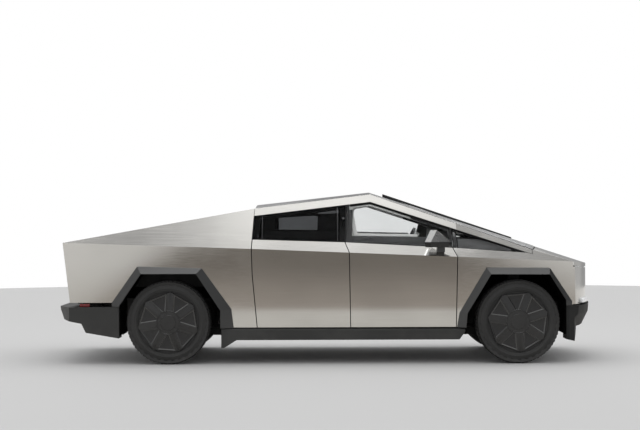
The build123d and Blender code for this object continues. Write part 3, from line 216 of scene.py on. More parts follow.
belt_half = 0.992
crease_rear = Vector((-0.808, 1.199))       # (x, z) of the belt crease at the rear door's edge
crease_front = Vector((1.335, 1.110))
skin_lean_low = 0.0477                      # how a door's skin runs in, per metre below the crease
skin_lean_up = 0.603                        # and above it
skin_thick = 0.004
rail_peak = Vector((0.439, 1.686))          # (x, z) where the cant rail's lower edge turns down
rail_rear_slope = 0.1184
rail_front_slope = -0.3286
frame_seal = 0.020                          # width of the black seal along the top of a door window
frame_cloth_low = 0.060                     # how far below the rail the frame's pale cloth ends
frame_cloth_rear = 0.215
frame_cloth_fore = 0.860
frame_cloth_colour = (0.70, 0.70, 0.69, 1.0)
steel_colour = (0.64, 0.63, 0.605, 1.0)
shell_colour = (0.020, 0.020, 0.021, 1.0)


def new_group(name, inputs, outputs):
    """An empty shader group with named sockets, and its input and output nodes."""
    group = bpy.data.node_groups.new(name, "ShaderNodeTree")
    for direction, sockets in (("INPUT", inputs), ("OUTPUT", outputs)):
        for label, kind in sockets:
            group.interface.new_socket(label, in_out=direction, socket_type="NodeSocket" + kind)
    return group, group.nodes.new("NodeGroupInput"), group.nodes.new("NodeGroupOutput")


def on_object(tree, texture, stretch=(1.0, 1.0, 1.0), **values):
    """A texture node on Object coordinates, stretched on each axis, with its values set."""
    coordinates = tree.nodes.new("ShaderNodeTexCoord")
    mapping = tree.nodes.new("ShaderNodeMapping")
    mapping.inputs["Scale"].default_value = stretch
    tree.links.new(coordinates.outputs["Object"], mapping.inputs["Vector"])
    node = tree.nodes.new("ShaderNodeTex" + texture)
    for label, value in values.items():
        node.inputs[label].default_value = value
    tree.links.new(mapping.outputs["Vector"], node.inputs["Vector"])
    return node


def noise(tree, scale, detail=3.0, rough=0.5, stretch=(1.0, 1.0, 1.0)):
    """A noise texture's value."""
    return on_object(tree, "Noise", stretch, Scale=scale, Detail=detail, Roughness=rough).outputs["Fac"]


# Rolled grain: streaks along the sheet and faint clouds left by handling.
rolled, into, out = new_group(
    "rolled_grain", [("Color", "Color"), ("Roughness", "Float")],
    [("Color", "Color"), ("Roughness", "Float"), ("Height", "Float")])
streaks = noise(rolled, 1.0, 4.0, stretch=(1.5, 260.0, 260.0))
clouds = noise(rolled, 1.7, 2.0, stretch=(1.0, 1.0, 1.6))
shade = math_node(rolled, "ADD", ramp(rolled, streaks, 0.3, 0.7, -0.035, 0.035),
                  ramp(rolled, clouds, 0.3, 0.7, 0.96, 1.03))
tint = rolled.nodes.new("ShaderNodeVectorMath")
tint.operation = "SCALE"
rolled.links.new(into.outputs["Color"], tint.inputs[0])
rolled.links.new(shade, tint.inputs["Scale"])
rolled.links.new(tint.outputs[0], out.inputs["Color"])
uneven = math_node(rolled, "ADD", ramp(rolled, streaks, 0.3, 0.7, -0.02, 0.03),
                   ramp(rolled, clouds, 0.3, 0.7, -0.015, 0.02))
rolled.links.new(math_node(rolled, "ADD", into.outputs["Roughness"], uneven), out.inputs["Roughness"])
rolled.links.new(streaks, out.inputs["Height"])


def use_group(tree, group, **values):
    """A group placed in a material, with its own values."""
    node = tree.nodes.new("ShaderNodeGroup")
    node.node_tree = group
    for label, value in values.items():
        node.inputs[label].default_value = value
    return node


def bump(tree, shader, height, strength, distance):
    """A bump from a height into a shader's normal."""
    node = tree.nodes.new("ShaderNodeBump")
    node.inputs["Strength"].default_value = strength
    node.inputs["Distance"].default_value = distance
    tree.links.new(height, node.inputs["Height"])
    tree.links.new(node.outputs["Normal"], shader.inputs["Normal"])


def between(tree, rear, fore):
    """A mask: 1 where Object X is between two places."""
    along = axes_of(tree)["X"]
    return math_node(tree, "MULTIPLY", math_node(tree, "GREATER_THAN", along, rear),
                     math_node(tree, "LESS_THAN", along, fore))


def steel_finish(name, roughness, behind_skin=False):
    """Brushed stainless steel; a thick panel is a dark painted shell behind the skin, cloth-topped."""
    material, parts, links, shader = new_material(name)
    tree = material.node_tree
    grain = use_group(tree, rolled, Color=steel_colour, Roughness=roughness)
    bump(tree, shader, grain.outputs["Height"], 0.008, 0.0004)
    shader.inputs["Anisotropic"].default_value = 0.8
    if not behind_skin:
        links.new(grain.outputs["Color"], shader.inputs["Base Color"])
        links.new(grain.outputs["Roughness"], shader.inputs["Roughness"])
        shader.inputs["Metallic"].default_value = 1.0
        return material
    axes = axes_of(tree)
    slope = (crease_front.y - crease_rear.y) / (crease_front.x - crease_rear.x)
    crease = math_node(tree, "MULTIPLY_ADD", axes["X"], slope, crease_rear.y - slope * crease_rear.x)
    above = math_node(tree, "SUBTRACT", axes["Z"], crease)
    low = math_node(tree, "MULTIPLY_ADD", above, skin_lean_low, belt_half)
    high = math_node(tree, "MULTIPLY_ADD", above, -skin_lean_up, belt_half)
    depth = math_node(tree, "SUBTRACT", math_node(tree, "MINIMUM", low, high),
                      math_node(tree, "ABSOLUTE", axes["Y"]))
    skin = math_node(tree, "LESS_THAN", depth, skin_thick)
    rail_rise, rail_fall = (math_node(tree, "MULTIPLY_ADD", axes["X"], slope, rail_peak.y - slope * rail_peak.x)
                            for slope in (rail_rear_slope, rail_front_slope))
    below_rail = math_node(tree, "SUBTRACT", math_node(tree, "MINIMUM", rail_rise, rail_fall), axes["Z"])
    frame_cloth = math_node(tree, "MULTIPLY", math_node(tree, "LESS_THAN", below_rail, frame_cloth_low),
                            math_node(tree, "GREATER_THAN", below_rail, frame_seal))
    frame_cloth = math_node(tree, "MULTIPLY", frame_cloth, between(tree, frame_cloth_rear, frame_cloth_fore))
    shell = blend_colours(tree, frame_cloth, shell_colour, frame_cloth_colour)
    links.new(blend_colours(tree, skin, shell, grain.outputs["Color"]), shader.inputs["Base Color"])
    links.new(ramp(tree, skin, 0.0, 1.0, 0.5, roughness), shader.inputs["Roughness"])
    links.new(skin, shader.inputs["Metallic"])
    return material


def paint(material, *names):
    """Gives CAD nodes a material."""
    for name in names:
        slots = nodes[name].data.materials
        slots.clear()
        slots.append(material)


steel = steel_finish("brushed_steel", 0.10)
door_steel = steel_finish("door_steel", 0.10, behind_skin=True)
paint(steel, "quarter_panels", "front_fenders", "cant_rails", "hood", "tailgate", "front_fascia")
paint(door_steel, *("door_" + corner for corner in corners))


# ------------------------------------------------------------------ moulded cladding
# Arches, sills, bumpers and mirrors are dark moulded plastic with a fine leather-like grain,
# pressed in one piece each and clipped to the body.

plastic_colour = (0.015, 0.0155, 0.015, 1.0)

moulded, into, out = new_group(
    "moulded_grain", [("Color", "Color"), ("Roughness", "Float"), ("Dust", "Float")],
    [("Color", "Color"), ("Roughness", "Float"), ("Height", "Float")])
pebbles = on_object(moulded, "Voronoi", Scale=900.0)
patches = noise(moulded, 3.5, 4.0, 0.6)
low_down = ramp(moulded, axes_of(moulded)["Z"], 0.75, 0.15)
dusty = math_node(moulded, "MULTIPLY", math_node(moulded, "MULTIPLY", ramp(moulded, patches, 0.35, 0.75), low_down),
                  into.outputs["Dust"])
moulded.links.new(blend_colours(moulded, dusty, into.outputs["Color"], (0.13, 0.127, 0.12, 1.0)), out.inputs["Color"])
worn = math_node(moulded, "ADD", into.outputs["Roughness"], ramp(moulded, patches, 0.3, 0.7, -0.05, 0.07))
moulded.links.new(worn, out.inputs["Roughness"])
moulded.links.new(pebbles.outputs["Distance"], out.inputs["Height"])


def grained(name, group, strength, distance, metallic=0.0, shine=0.5, **values):
    """A finish that takes its colour, roughness and relief from a grain group."""
    material, parts, links, shader = new_material(name)
    surface = use_group(material.node_tree, group, **values)
    links.new(surface.outputs["Color"], shader.inputs["Base Color"])
    links.new(surface.outputs["Roughness"], shader.inputs["Roughness"])
    shader.inputs["Metallic"].default_value = metallic
    shader.inputs["Specular IOR Level"].default_value = shine
    bump(material.node_tree, shader, surface.outputs["Height"], strength, distance)
    return material


def plastic_finish(name, colour, roughness, dust=0.15, grain=0.15, shine=0.5):
    """Moulded plastic with its grain and a little dust low down."""
    return grained(name, moulded, grain, 0.0003, shine=shine, Color=colour, Roughness=roughness, Dust=dust)


def blended_over(material, mask, colour):
    """Lays another colour over a material's own where a mask is 1."""
    base = material.node_tree.nodes["Principled BSDF"].inputs["Base Color"]
    own = base.links[0].from_socket
    material.node_tree.links.new(blend_colours(material.node_tree, mask, own, colour), base)


cladding = plastic_finish("cladding", plastic_colour, 0.48)
liner_felt = plastic_finish("liner_felt", (0.0015, 0.0015, 0.0015, 1.0), 0.95, dust=0.03, grain=0.5, shine=0.05)
trim = plastic_finish("cabin_trim", (0.022, 0.022, 0.024, 1.0), 0.55, dust=0.0)
paint(cladding, "rocker_panels", "front_bumper", "rear_bumper", "mirror_left", "mirror_right",
      "mirror_foot_left", "mirror_foot_right")
paint(liner_felt, "wheel_liners")
paint(trim, "dashboard", "steering_wheel", "front_seats", "rear_bench", "wiper", "tonneau_cover")


# ------------------------------------------------------------------ window glass
# Flush laminated panes: lightly tinted in the screen, the front doors and the quarter panes ahead
# of them, and dark privacy glass behind and above.

def glass_finish(name, tint):
    """Tinted glass, with the tint's faint unevenness."""
    material, parts, links, shader = new_material(name)
    tree = material.node_tree
    film = ramp(tree, noise(tree, 2.2, 2.0), 0.35, 0.65)
    deeper = tuple(0.96 * share for share in tint[:3]) + (1.0,)
    links.new(blend_colours(tree, film, tint, deeper), shader.inputs["Base Color"])
    shader.inputs["Roughness"].default_value = 0.0
    shader.inputs["Transmission Weight"].default_value = 1.0
    shader.inputs["IOR"].default_value = 1.12         # low, so that the panes reflect little
    return material


clear_glass = glass_finish("front_glass", (0.84, 0.85, 0.85, 1.0))
dark_glass = glass_finish("privacy_glass", (0.24, 0.245, 0.25, 1.0))
roof_tint = glass_finish("roof_tint", (0.05, 0.05, 0.055, 1.0))
paint(clear_glass, "glass_front_left", "glass_front_right", "windscreen", "quarter_windows")
paint(dark_glass, "glass_rear_left", "glass_rear_right")
paint(roof_tint, "roof_glass")


# ------------------------------------------------------------------ tyres
# All-terrain tyres, moulded rubber on the wheel's rim.  One carcass is turned from its section,
# with a ring of tread blocks and shoulder lugs set on it, and copied to the four wheels.

tyre_section = [                # (radius, distance from the wheel's centre plane), bead to bead
    (0.262, -0.100), (0.256, -0.108), (0.268, -0.116), (0.300, -0.119), (0.313, -0.121), (0.319, -0.130),
    (0.326, -0.130), (0.332, -0.137), (0.352, -0.1405), (0.356, -0.1425), (0.362, -0.1405), (0.384, -0.137),
    (0.403, -0.130), (0.417, -0.119), (0.423, -0.100), (0.425, 0.0), (0.423, 0.100), (0.417, 0.119),
    (0.403, 0.130), (0.384, 0.137), (0.356, 0.1425), (0.326, 0.134), (0.300, 0.128), (0.268, 0.118),
    (0.256, 0.108), (0.262, 0.100), (0.300, 0.115), (0.356, 0.129), (0.398, 0.112), (0.410, 0.0),
    (0.398, -0.112), (0.356, -0.129), (0.300, -0.107)]
tread_pitches = 66
tread_rows = [                  # middle and width across the tread, length as a share of the pitch, stagger
    (-0.098, 0.026, 0.62, 0.0), (-0.066, 0.028, 0.70, 0.5), (-0.032, 0.030, 0.66, 0.1), (0.000, 0.026, 0.58, 0.6),
    (0.032, 0.030, 0.66, 0.1), (0.066, 0.028, 0.70, 0.5), (0.098, 0.026, 0.62, 0.0)]
tread_round = 0.43              # radius on which the pitch is measured
block_radius = 0.427
block_tall = 0.013
block_skew = 0.28
shoulder_radius = 0.424
shoulder_out = 0.129
shoulder_lean = 0.30
rubber_colour = (0.0125, 0.0125, 0.0125, 1.0)


def applied():
    """Puts the active piece's place, turn and scale into its mesh."""
    bpy.ops.object.transform_apply(location=True, rotation=True, scale=True)


def chain(points):
    """A new object: one vertex, extruded from point to point."""
    bpy.ops.object.select_all(action="DESELECT")
    bpy.ops.mesh.primitive_plane_add(size=0.01, location=points[0])
    applied()
    bpy.ops.object.mode_set(mode="EDIT")
    bpy.ops.mesh.select_mode(type="VERT")
    bpy.ops.mesh.select_all(action="SELECT")
    bpy.ops.mesh.merge(type="CENTER")
    for here, there in zip(points, points[1:]):
        bpy.ops.mesh.extrude_region_move(TRANSFORM_OT_translate={"value": Vector(there) - Vector(here)})
    return bpy.context.object


def faces_out(weld=0.0):
    """Turns the faces of the mesh being edited outwards, after welding points nearer than a distance."""
    bpy.ops.mesh.select_all(action="SELECT")
    if weld:
        bpy.ops.mesh.remove_doubles(threshold=weld)
    bpy.ops.mesh.normals_make_consistent(inside=False)


def turned(section, steps, axis=(0.0, 1.0, 0.0)):
    """A ring turned round an axis through the origin from its (radius, height) section."""
    way = Vector(axis)
    out = Vector((0.0, 0.0, 1.0)) if abs(way.z) < 0.9 else Vector((1.0, 0.0, 0.0))
    points = [out * radius + way * height for radius, height in section]
    piece = chain(points + points[:1])
    bpy.ops.mesh.select_all(action="SELECT")
    bpy.ops.mesh.spin(steps=steps, angle=2 * pi, center=(0.0, 0.0, 0.0), axis=axis)
    faces_out(weld=0.00005)
    return piece


def only(*pieces):
    """Selects just these pieces, the last one active, in object mode."""
    if bpy.context.object and bpy.context.object.mode == "EDIT":
        bpy.ops.object.mode_set(mode="OBJECT")
    bpy.ops.object.select_all(action="DESELECT")
    for piece in pieces:
        piece.select_set(True)
        bpy.context.view_layer.objects.active = piece


def finished(piece, name, body, material=None, smooth=30.0):
    """Applies a piece's place, names it, shades it, and makes it ride on its body."""
    only(piece)
    applied()
    bpy.ops.object.shade_smooth_by_angle(angle=radians(smooth))
    piece.name = name
    if material:
        piece.data.materials.clear()
        piece.data.materials.append(material)
    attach(piece, body)
    return piece


def copied(piece):
    """A copy of a piece with its own mesh."""
    twin = piece.copy()
    twin.data = piece.data.copy()
    bpy.context.collection.objects.link(twin)
    return twin


def round_axle(count):
    """Repeats what is selected round the wheel's axle."""
    bpy.ops.mesh.spin(steps=count - 1, dupli=True, angle=2 * pi * (count - 1) / count, center=(0.0, 0.0, 0.0),
                      axis=(0.0, 1.0, 0.0))


tyre = turned(tyre_section, 96)
pitch = 2 * pi * tread_round / tread_pitches
for row, width, share, stagger in tread_rows:
    turn = 2 * pi * stagger / tread_pitches
    bpy.ops.mesh.select_all(action="DESELECT")
    bpy.ops.mesh.primitive_cube_add(
        size=1.0, location=(block_radius * sin(turn), row, block_radius * cos(turn)),
        rotation=(0.0, turn, block_skew if row > 0 else -block_skew), scale=(pitch * share, width, block_tall))
    round_axle(tread_pitches)
for side, reach, every in ((-1.0, 0.044, 0.0), (1.0, 0.044, 0.0), (-1.0, 0.026, 0.5), (1.0, 0.026, 0.5)):
    turn = 2 * pi * every / tread_pitches * 2
    middle_radius = shoulder_radius - reach / 2
    bpy.ops.mesh.select_all(action="DESELECT")
    bpy.ops.mesh.primitive_cube_add(
        size=1.0, location=(middle_radius * sin(turn), side * shoulder_out, middle_radius * cos(turn)),
        rotation=(side * -shoulder_lean, turn, 0.0), scale=(pitch * 0.95, 0.022, reach))
    round_axle(tread_pitches // 2)
bpy.ops.object.mode_set(mode="OBJECT")

rubber = plastic_finish("tyre_rubber", rubber_colour, 0.62, dust=0.12, grain=0.2)
wheel_turns = {"front": radians(20.4), "rear": radians(4.1)}


def on_wheel(piece, name, corner, material=None):
    """A copy of a piece made at the origin, outer side to -Y, put on one wheel."""
    twin = copied(piece)
    low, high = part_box("tyre_" + corner)
    end, side = corner.split("_")
    twin.location = (low + high) / 2
    twin.rotation_euler = (0.0, wheel_turns[end], pi if side == "left" else 0.0)
    return finished(twin, name + "_" + corner, "wheel_" + corner, material)


for corner in corners:
    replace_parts(on_wheel(tyre, "all_terrain_tyre", corner, rubber), "tyre_" + corner)
bpy.data.objects.remove(tyre)


# ------------------------------------------------------------------ wheels and brakes
# Cast wheels under flat seven-cornered plastic covers.  The cover is one moulding: a plate with
# seven raised spokes, sunk fields between them, a ring round the hub and a plain cap.

cover_radius = 0.318
cover_front = -0.1365
cover_thick = 0.014
spoke_half = 0.034
field_depth = 0.0085
cover_colour = (0.0052, 0.0052, 0.0055, 1.0)
iron_colour = (0.12, 0.115, 0.11, 1.0)

def pick(kind, test):
    """Selects what passes a test, of the vertices, edges or faces of the mesh being edited."""
    bpy.ops.mesh.select_mode(type=kind)
    bpy.ops.mesh.select_all(action="DESELECT")
    shape = bmesh.from_edit_mesh(bpy.context.object.data)
    parts_of = {"VERT": shape.verts, "EDGE": shape.edges, "FACE": shape.faces}[kind]
    for part in parts_of:
        if test(part):
            part.select_set(True)
    bmesh.update_edit_mesh(bpy.context.object.data)


def modifier(piece, kind, **settings):
    """Adds a modifier to a piece and applies it."""
    if bpy.context.object.mode == "EDIT":
        bpy.ops.object.mode_set(mode="OBJECT")
    bpy.context.view_layer.objects.active = piece
    added = piece.modifiers.new(kind.lower(), kind)
    for setting, value in settings.items():
        setattr(added, setting, value)
    bpy.ops.object.modifier_apply(modifier=added.name)


def rounded(piece, width, segments, angle):
    """Rounds a piece's edges that fold by more than an angle, in degrees."""
    modifier(piece, "BEVEL", width=width, segments=segments, limit_method="ANGLE", angle_limit=radians(angle))


def joined(*pieces):
    """Several pieces joined into the last one."""
    only(*pieces)
    bpy.ops.object.join()
    return bpy.context.object


cover_plastic = plastic_finish("wheel_cover_plastic", cover_colour, 0.30, dust=0.08, grain=0.05, shine=0.62)
edge_plastic = plastic_finish("wheel_cover_edge", cover_colour, 0.16, dust=0.0, grain=0.0, shine=1.0)
field_plastic = plastic_finish("wheel_cover_field", (0.0072, 0.0072, 0.0076, 1.0), 0.36, dust=0.06, grain=0.1)

bpy.ops.object.select_all(action="DESELECT")
bpy.ops.mesh.primitive_cylinder_add(vertices=7, radius=cover_radius, depth=cover_thick, rotation=(pi / 2, 0.0, 0.0),
                                    location=(0.0, cover_front + cover_thick / 2, 0.0))
cover = bpy.context.object
cover.data.materials.append(cover_plastic)
cover.data.materials.append(field_plastic)
cover.data.materials.append(edge_plastic)
applied()
bpy.ops.object.mode_set(mode="EDIT")
pick("FACE", lambda face: face.normal.y < -0.9)
bpy.ops.mesh.poke()
bpy.ops.mesh.inset(thickness=spoke_half, use_individual=True, use_even_offset=True)
bpy.ops.transform.resize(value=(1.12, 1.0, 1.12), center_override=(0.0, cover_front, 0.0))
bpy.ops.mesh.inset(thickness=0.011, depth=-field_depth, use_individual=True)
cover.active_material_index = 1
bpy.ops.object.material_slot_assign()
pick("FACE", lambda face: -0.95 < face.normal.y < -0.3)
cover.active_material_index = 2
bpy.ops.object.material_slot_assign()
rounded(cover, 0.0012, 2, 20)
hub = turned([(0.1265, cover_front + 0.004), (0.1265, cover_front - 0.003), (0.1245, cover_front - 0.005),
              (0.1175, cover_front - 0.005), (0.1155, cover_front - 0.003), (0.1150, cover_front + 0.001),
              (0.0800, cover_front + 0.001), (0.0795, cover_front - 0.003), (0.0775, cover_front - 0.005),
              (0.0200, cover_front - 0.0056), (0.0004, cover_front - 0.0056), (0.0004, cover_front + 0.004)], 84)
hub.data.materials.append(cover_plastic)
cover = joined(hub, cover)

wheel_centre = turned([(0.2560, -0.104), (0.2610, -0.110), (0.2540, -0.113), (0.2440, -0.108), (0.2380, -0.090),
                       (0.2300, -0.062), (0.1500, -0.075), (0.0750, -0.080), (0.0350, -0.078), (0.0350, -0.050),
                       (0.0900, -0.052), (0.2200, -0.040), (0.2340, -0.020), (0.2400, 0.060), (0.2420, 0.100),
                       (0.2550, 0.110), (0.2580, 0.104), (0.2480, 0.094), (0.2460, 0.050), (0.2400, -0.030),
                       (0.2440, -0.080)], 84)
bpy.ops.mesh.select_all(action="DESELECT")
bpy.ops.mesh.primitive_cylinder_add(vertices=6, radius=0.011, depth=0.012, rotation=(pi / 2, 0.0, 0.0),
                                    location=(0.0, -0.084, 0.057))
round_axle(5)
bpy.ops.object.mode_set(mode="OBJECT")

disc_section = [(0.086, 0.012), (0.188, 0.012), (0.188, 0.021), (0.110, 0.021), (0.110, 0.027), (0.188, 0.027),
                (0.188, 0.036), (0.086, 0.036), (0.080, 0.000), (0.040, 0.000), (0.040, -0.008), (0.086, -0.008)]
brake_disc = turned(disc_section, 84)
bpy.ops.object.mode_set(mode="OBJECT")

cast_alloy = grained("cast_wheel_alloy", moulded, 0.1, 0.0003, metallic=0.9, Color=(0.075, 0.075, 0.078, 1.0),
                     Roughness=0.42, Dust=0.25)

brake_iron, parts, links, shader = new_material("brake_iron")
tree = brake_iron.node_tree
turned_marks = on_object(tree, "Wave", Scale=220.0, Distortion=0.6)
turned_marks.wave_type = "RINGS"
turned_marks.rings_direction = "SPHERICAL"
rust = ramp(tree, noise(tree, 14.0, 4.0), 0.52, 0.7)
links.new(blend_colours(tree, rust, iron_colour, (0.075, 0.036, 0.018, 1.0)), shader.inputs["Base Color"])
links.new(ramp(tree, turned_marks.outputs["Fac"], 0.0, 1.0, 0.28, 0.42), shader.inputs["Roughness"])
shader.inputs["Metallic"].default_value = 1.0
bump(tree, shader, turned_marks.outputs["Fac"], 0.08, 0.0002)

for corner in corners:
    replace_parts(on_wheel(wheel_centre, "cast_wheel", corner, cast_alloy), "rim_" + corner)
    on_wheel(cover, "wheel_cover", corner)
    on_wheel(brake_disc, "brake_disc", corner, brake_iron)
for piece in (wheel_centre, cover, brake_disc):
    bpy.data.objects.remove(piece)


# ------------------------------------------------------------------ wheel arch flares
# Moulded arches, one over each wheel.  Every straight piece slopes out from the body side to the
# lip round the wheel, with mitred corners between them, and has a return into the arch.

flare_edge_y = 0.970            # where the slope starts, at the body side
flare_lip_y = 1.0155
flare_thick = 0.030
rear_axle_x = -1.673
front_axle_x = 1.962
rear_flare_out = [(-0.590, 0.598), (-0.590, 0.642), (-0.326, 1.017), (0.348, 0.998), (0.653, 0.573), (0.676, 0.374)]
rear_flare_in = [(-0.504, 0.598), (-0.504, 0.615), (-0.283, 0.940), (0.289, 0.940), (0.541, 0.561), (0.541, 0.374)]
front_flare_out = [(-0.634, 0.374), (-0.608, 0.529), (-0.328, 0.998), (0.334, 0.990), (0.563, 0.645), (0.563, 0.600)]
front_flare_in = [(-0.542, 0.374), (-0.528, 0.523), (-0.282, 0.926), (0.327, 0.923), (0.493, 0.658), (0.493, 0.600)]


def mirrored(piece):
    """A copy of a piece on the truck's other side, its faces turned the right way out again."""
    twin = copied(piece)
    only(twin)
    twin.scale = (1.0, -1.0, 1.0)
    applied()
    bpy.ops.object.mode_set(mode="EDIT")
    faces_out()
    bpy.ops.object.mode_set(mode="OBJECT")
    return twin


def sheet(outline):
    """A flat face from its corners."""
    piece = chain(list(outline))
    bpy.ops.mesh.select_all(action="SELECT")
    bpy.ops.mesh.edge_face_add()
    return piece


def strip(first, second):
    """A strip of four-sided faces between two lines with as many points each."""
    faces = []
    for corner_places in zip(first, first[1:], second[1:], second):
        faces.append(sheet(corner_places))
        bpy.ops.object.mode_set(mode="OBJECT")
    piece = joined(*faces)
    bpy.ops.object.mode_set(mode="EDIT")
    bpy.ops.mesh.select_all(action="SELECT")
    bpy.ops.mesh.remove_doubles(threshold=0.0001)
    return piece


def thickened(piece, way):
    """The sheet being edited, extruded into a closed slab with its faces outwards."""
    bpy.ops.mesh.select_all(action="SELECT")
    bpy.ops.mesh.extrude_region_move(TRANSFORM_OT_translate={"value": way})
    faces_out()
    return piece


def slab(first, second, way, width, segments=2, angle=30):
    """A solid strip between two lines, its edges rounded."""
    piece = thickened(strip(first, second), way)
    rounded(piece, width, segments, angle)
    return piece


flare_plastic = plastic_finish("flare_plastic", (0.009, 0.0095, 0.0095, 1.0), 0.36, shine=0.78)
for end, axle_x, outer, inner in (("rear", rear_axle_x, rear_flare_out, rear_flare_in),
                                  ("front", front_axle_x, front_flare_out, front_flare_in)):
    flare = slab([(axle_x + x, -flare_edge_y, z) for x, z in outer], [(axle_x + x, -flare_lip_y, z) for x, z in inner],
                 (0.0, flare_thick, 0.0), 0.0035, angle=12)
    left = mirrored(flare)
    finished(flare, "arch_flare_" + end + "_right", "truck", flare_plastic, smooth=6)
    finished(left, "arch_flare_" + end + "_left", "truck", flare_plastic, smooth=6)
    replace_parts(flare, "arch_flares")


# ------------------------------------------------------------------ softened edges
# Folded steel and moulded plastic have small radii along every edge, which catch the light.


def softened(node, material, width=0.0015, segments=2, angle=18.0):
    """A copy of a CAD node with its facets merged and its edges rounded, in the node's place."""
    piece = copied(nodes[node])
    piece.parent = None
    only(piece)
    bpy.ops.object.mode_set(mode="EDIT")
    bpy.ops.mesh.select_all(action="SELECT")
    bpy.ops.mesh.remove_doubles(threshold=0.00002)
    bpy.ops.mesh.dissolve_limited(angle_limit=radians(0.6), use_dissolve_boundaries=False)
    rounded(piece, width, segments, angle)
    finished(piece, node + "_panel", nodes[node]["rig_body"], material, smooth=6)
    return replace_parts(piece, node)


bumper_plastic = plastic_finish("bumper_plastic", (0.011, 0.0115, 0.0115, 1.0), 0.58, shine=0.2)
# The mirror feet are moulded plastic in a mid grey that is partly painted shade: the tone stands for the soft shadow
# under the mirror on the belt.
foot_in_painted_shade = plastic_finish("mirror_foot_painted_shade", (0.045, 0.0455, 0.046, 1.0), 0.42, dust=0.0)
for node in ("quarter_panels", "front_fenders", "cant_rails", "hood", "tailgate", "front_fascia"):
    softened(node, steel)
for corner in corners:
    softened("door_" + corner, door_steel)
for node in ("rocker_panels", "rear_bumper"):
    softened(node, cladding, width=0.006, segments=3)
softened("front_bumper", bumper_plastic, width=0.006, segments=3)
for side in ("left", "right"):
    softened("mirror_foot_" + side, foot_in_painted_shade, width=0.002)


# ------------------------------------------------------------------ side window joints
# The window bands are black glass held from behind.  A thin seal fills each joint between panes,
# and the doors open with a round touch button set in the glass near the pillar.

seal_colour = (0.045, 0.046, 0.048, 1.0)
joint_half = 0.0022


def crease_z(x):
    """Height of the belt crease."""
    return crease_rear.y + (x - crease_rear.x) * (crease_front.y - crease_rear.y) / (crease_front.x - crease_rear.x)


def on_facet(x, z, depth=0.0):
    """A place on the right-hand side's upper facet, or so far inside it."""
    lean = skin_lean_up * (z - crease_z(x)) + depth * sqrt(1.0 + skin_lean_up ** 2)
    return x, lean - belt_half, z


def extruded(outline, way, bevel=0.003, segments=2):
    """A closed outline filled and extruded into a solid, its edges rounded."""
    piece = thickened(sheet(outline), way)
    rounded(piece, bevel, segments, 20)
    return piece


def pair(piece, name, body, material=None, smooth=30.0):
    """A piece made on the right-hand side, and its mirror image on the left."""
    left = mirrored(piece)
    return (finished(piece, name + "_right", body.format("right"), material, smooth),
            finished(left, name + "_left", body.format("left"), material, smooth))


def facet_line(places, depth):
    """A line of (x, z) places on the upper facet, or so far inside it."""
    return [on_facet(x, z, depth) for x, z in places]


facet_way = Vector((0.0, -1.0, skin_lean_up)).normalized() * -1.0       # inwards, square to the facet
seal_rubber = plastic_finish("seal_rubber", seal_colour, 0.5, dust=0.0)
for name, body, low, high in (("rear_joint_seal", "door_rear_{}_body", (0.090, 1.278), (0.090, 1.632)),
                              ("pillar_joint_seal", "door_front_{}_body", (0.263, 1.268), (0.213, 1.640)),
                              ("sail_joint_seal", "door_rear_{}_body", (-0.699, 1.300), (-0.699, 1.534))):
    outline = [(x + side * joint_half, z) for (x, z), side in zip((low, low, high, high), (-1, 1, 1, -1))]
    pair(extruded(facet_line(outline, -0.0012), facet_way * 0.002, bevel=0.0004), name, body, seal_rubber)
for name, x, z, radius in (("door_button", 0.152, 1.512, 0.013), ("rear_door_button", -0.742, 1.330, 0.006)):
    bpy.ops.object.select_all(action="DESELECT")
    bpy.ops.mesh.primitive_cylinder_add(vertices=28, radius=radius, depth=0.003, location=on_facet(x, z),
                                        rotation=facet_way.to_track_quat("Z", "Y").to_euler())
    button = bpy.context.object
    applied()
    bpy.ops.object.mode_set(mode="EDIT")
    pick("FACE", lambda face: face.normal.dot(facet_way) < -0.9)
    bpy.ops.mesh.inset(thickness=radius * 0.25, depth=-0.0006)
    rounded(button, 0.0004, 2, 30)
    pair(button, name, "door_rear_{}_body", seal_rubber)


# ------------------------------------------------------------------ door cards
# Inside, each door has a moulded card with an armrest, a padded ledge under the window, and a
# fabric-covered surround on the window frame, clipped to the steel.

card_depth = 0.856
ledge_depth = 0.057
card_thick = 0.012

hide, into, out = new_group(
    "leather_grain", [("Color", "Color"), ("Roughness", "Float")],
    [("Color", "Color"), ("Roughness", "Float"), ("Height", "Float")])
cells = on_object(hide, "Voronoi", Scale=620.0)
cells.feature = "DISTANCE_TO_EDGE"
creases = noise(hide, 38.0, 5.0, 0.62)
handled = noise(hide, 5.0, 2.0)
pores = ramp(hide, cells.outputs["Distance"], 0.0, 0.06)
rubbed = ramp(hide, handled, 0.35, 0.7, 0.0, 0.25)
hide.links.new(blend_colours(hide, rubbed, into.outputs["Color"], (0.05, 0.049, 0.048, 1.0)), out.inputs["Color"])
hide.links.new(math_node(hide, "ADD", into.outputs["Roughness"], ramp(hide, creases, 0.3, 0.7, -0.06, 0.08)),
               out.inputs["Roughness"])
hide.links.new(math_node(hide, "ADD", pores, creases), out.inputs["Height"])


def leather_finish(name, colour, roughness):
    """Soft synthetic leather, with pores and fine creases."""
    return grained(name, hide, 0.25, 0.0004, Color=colour, Roughness=roughness)


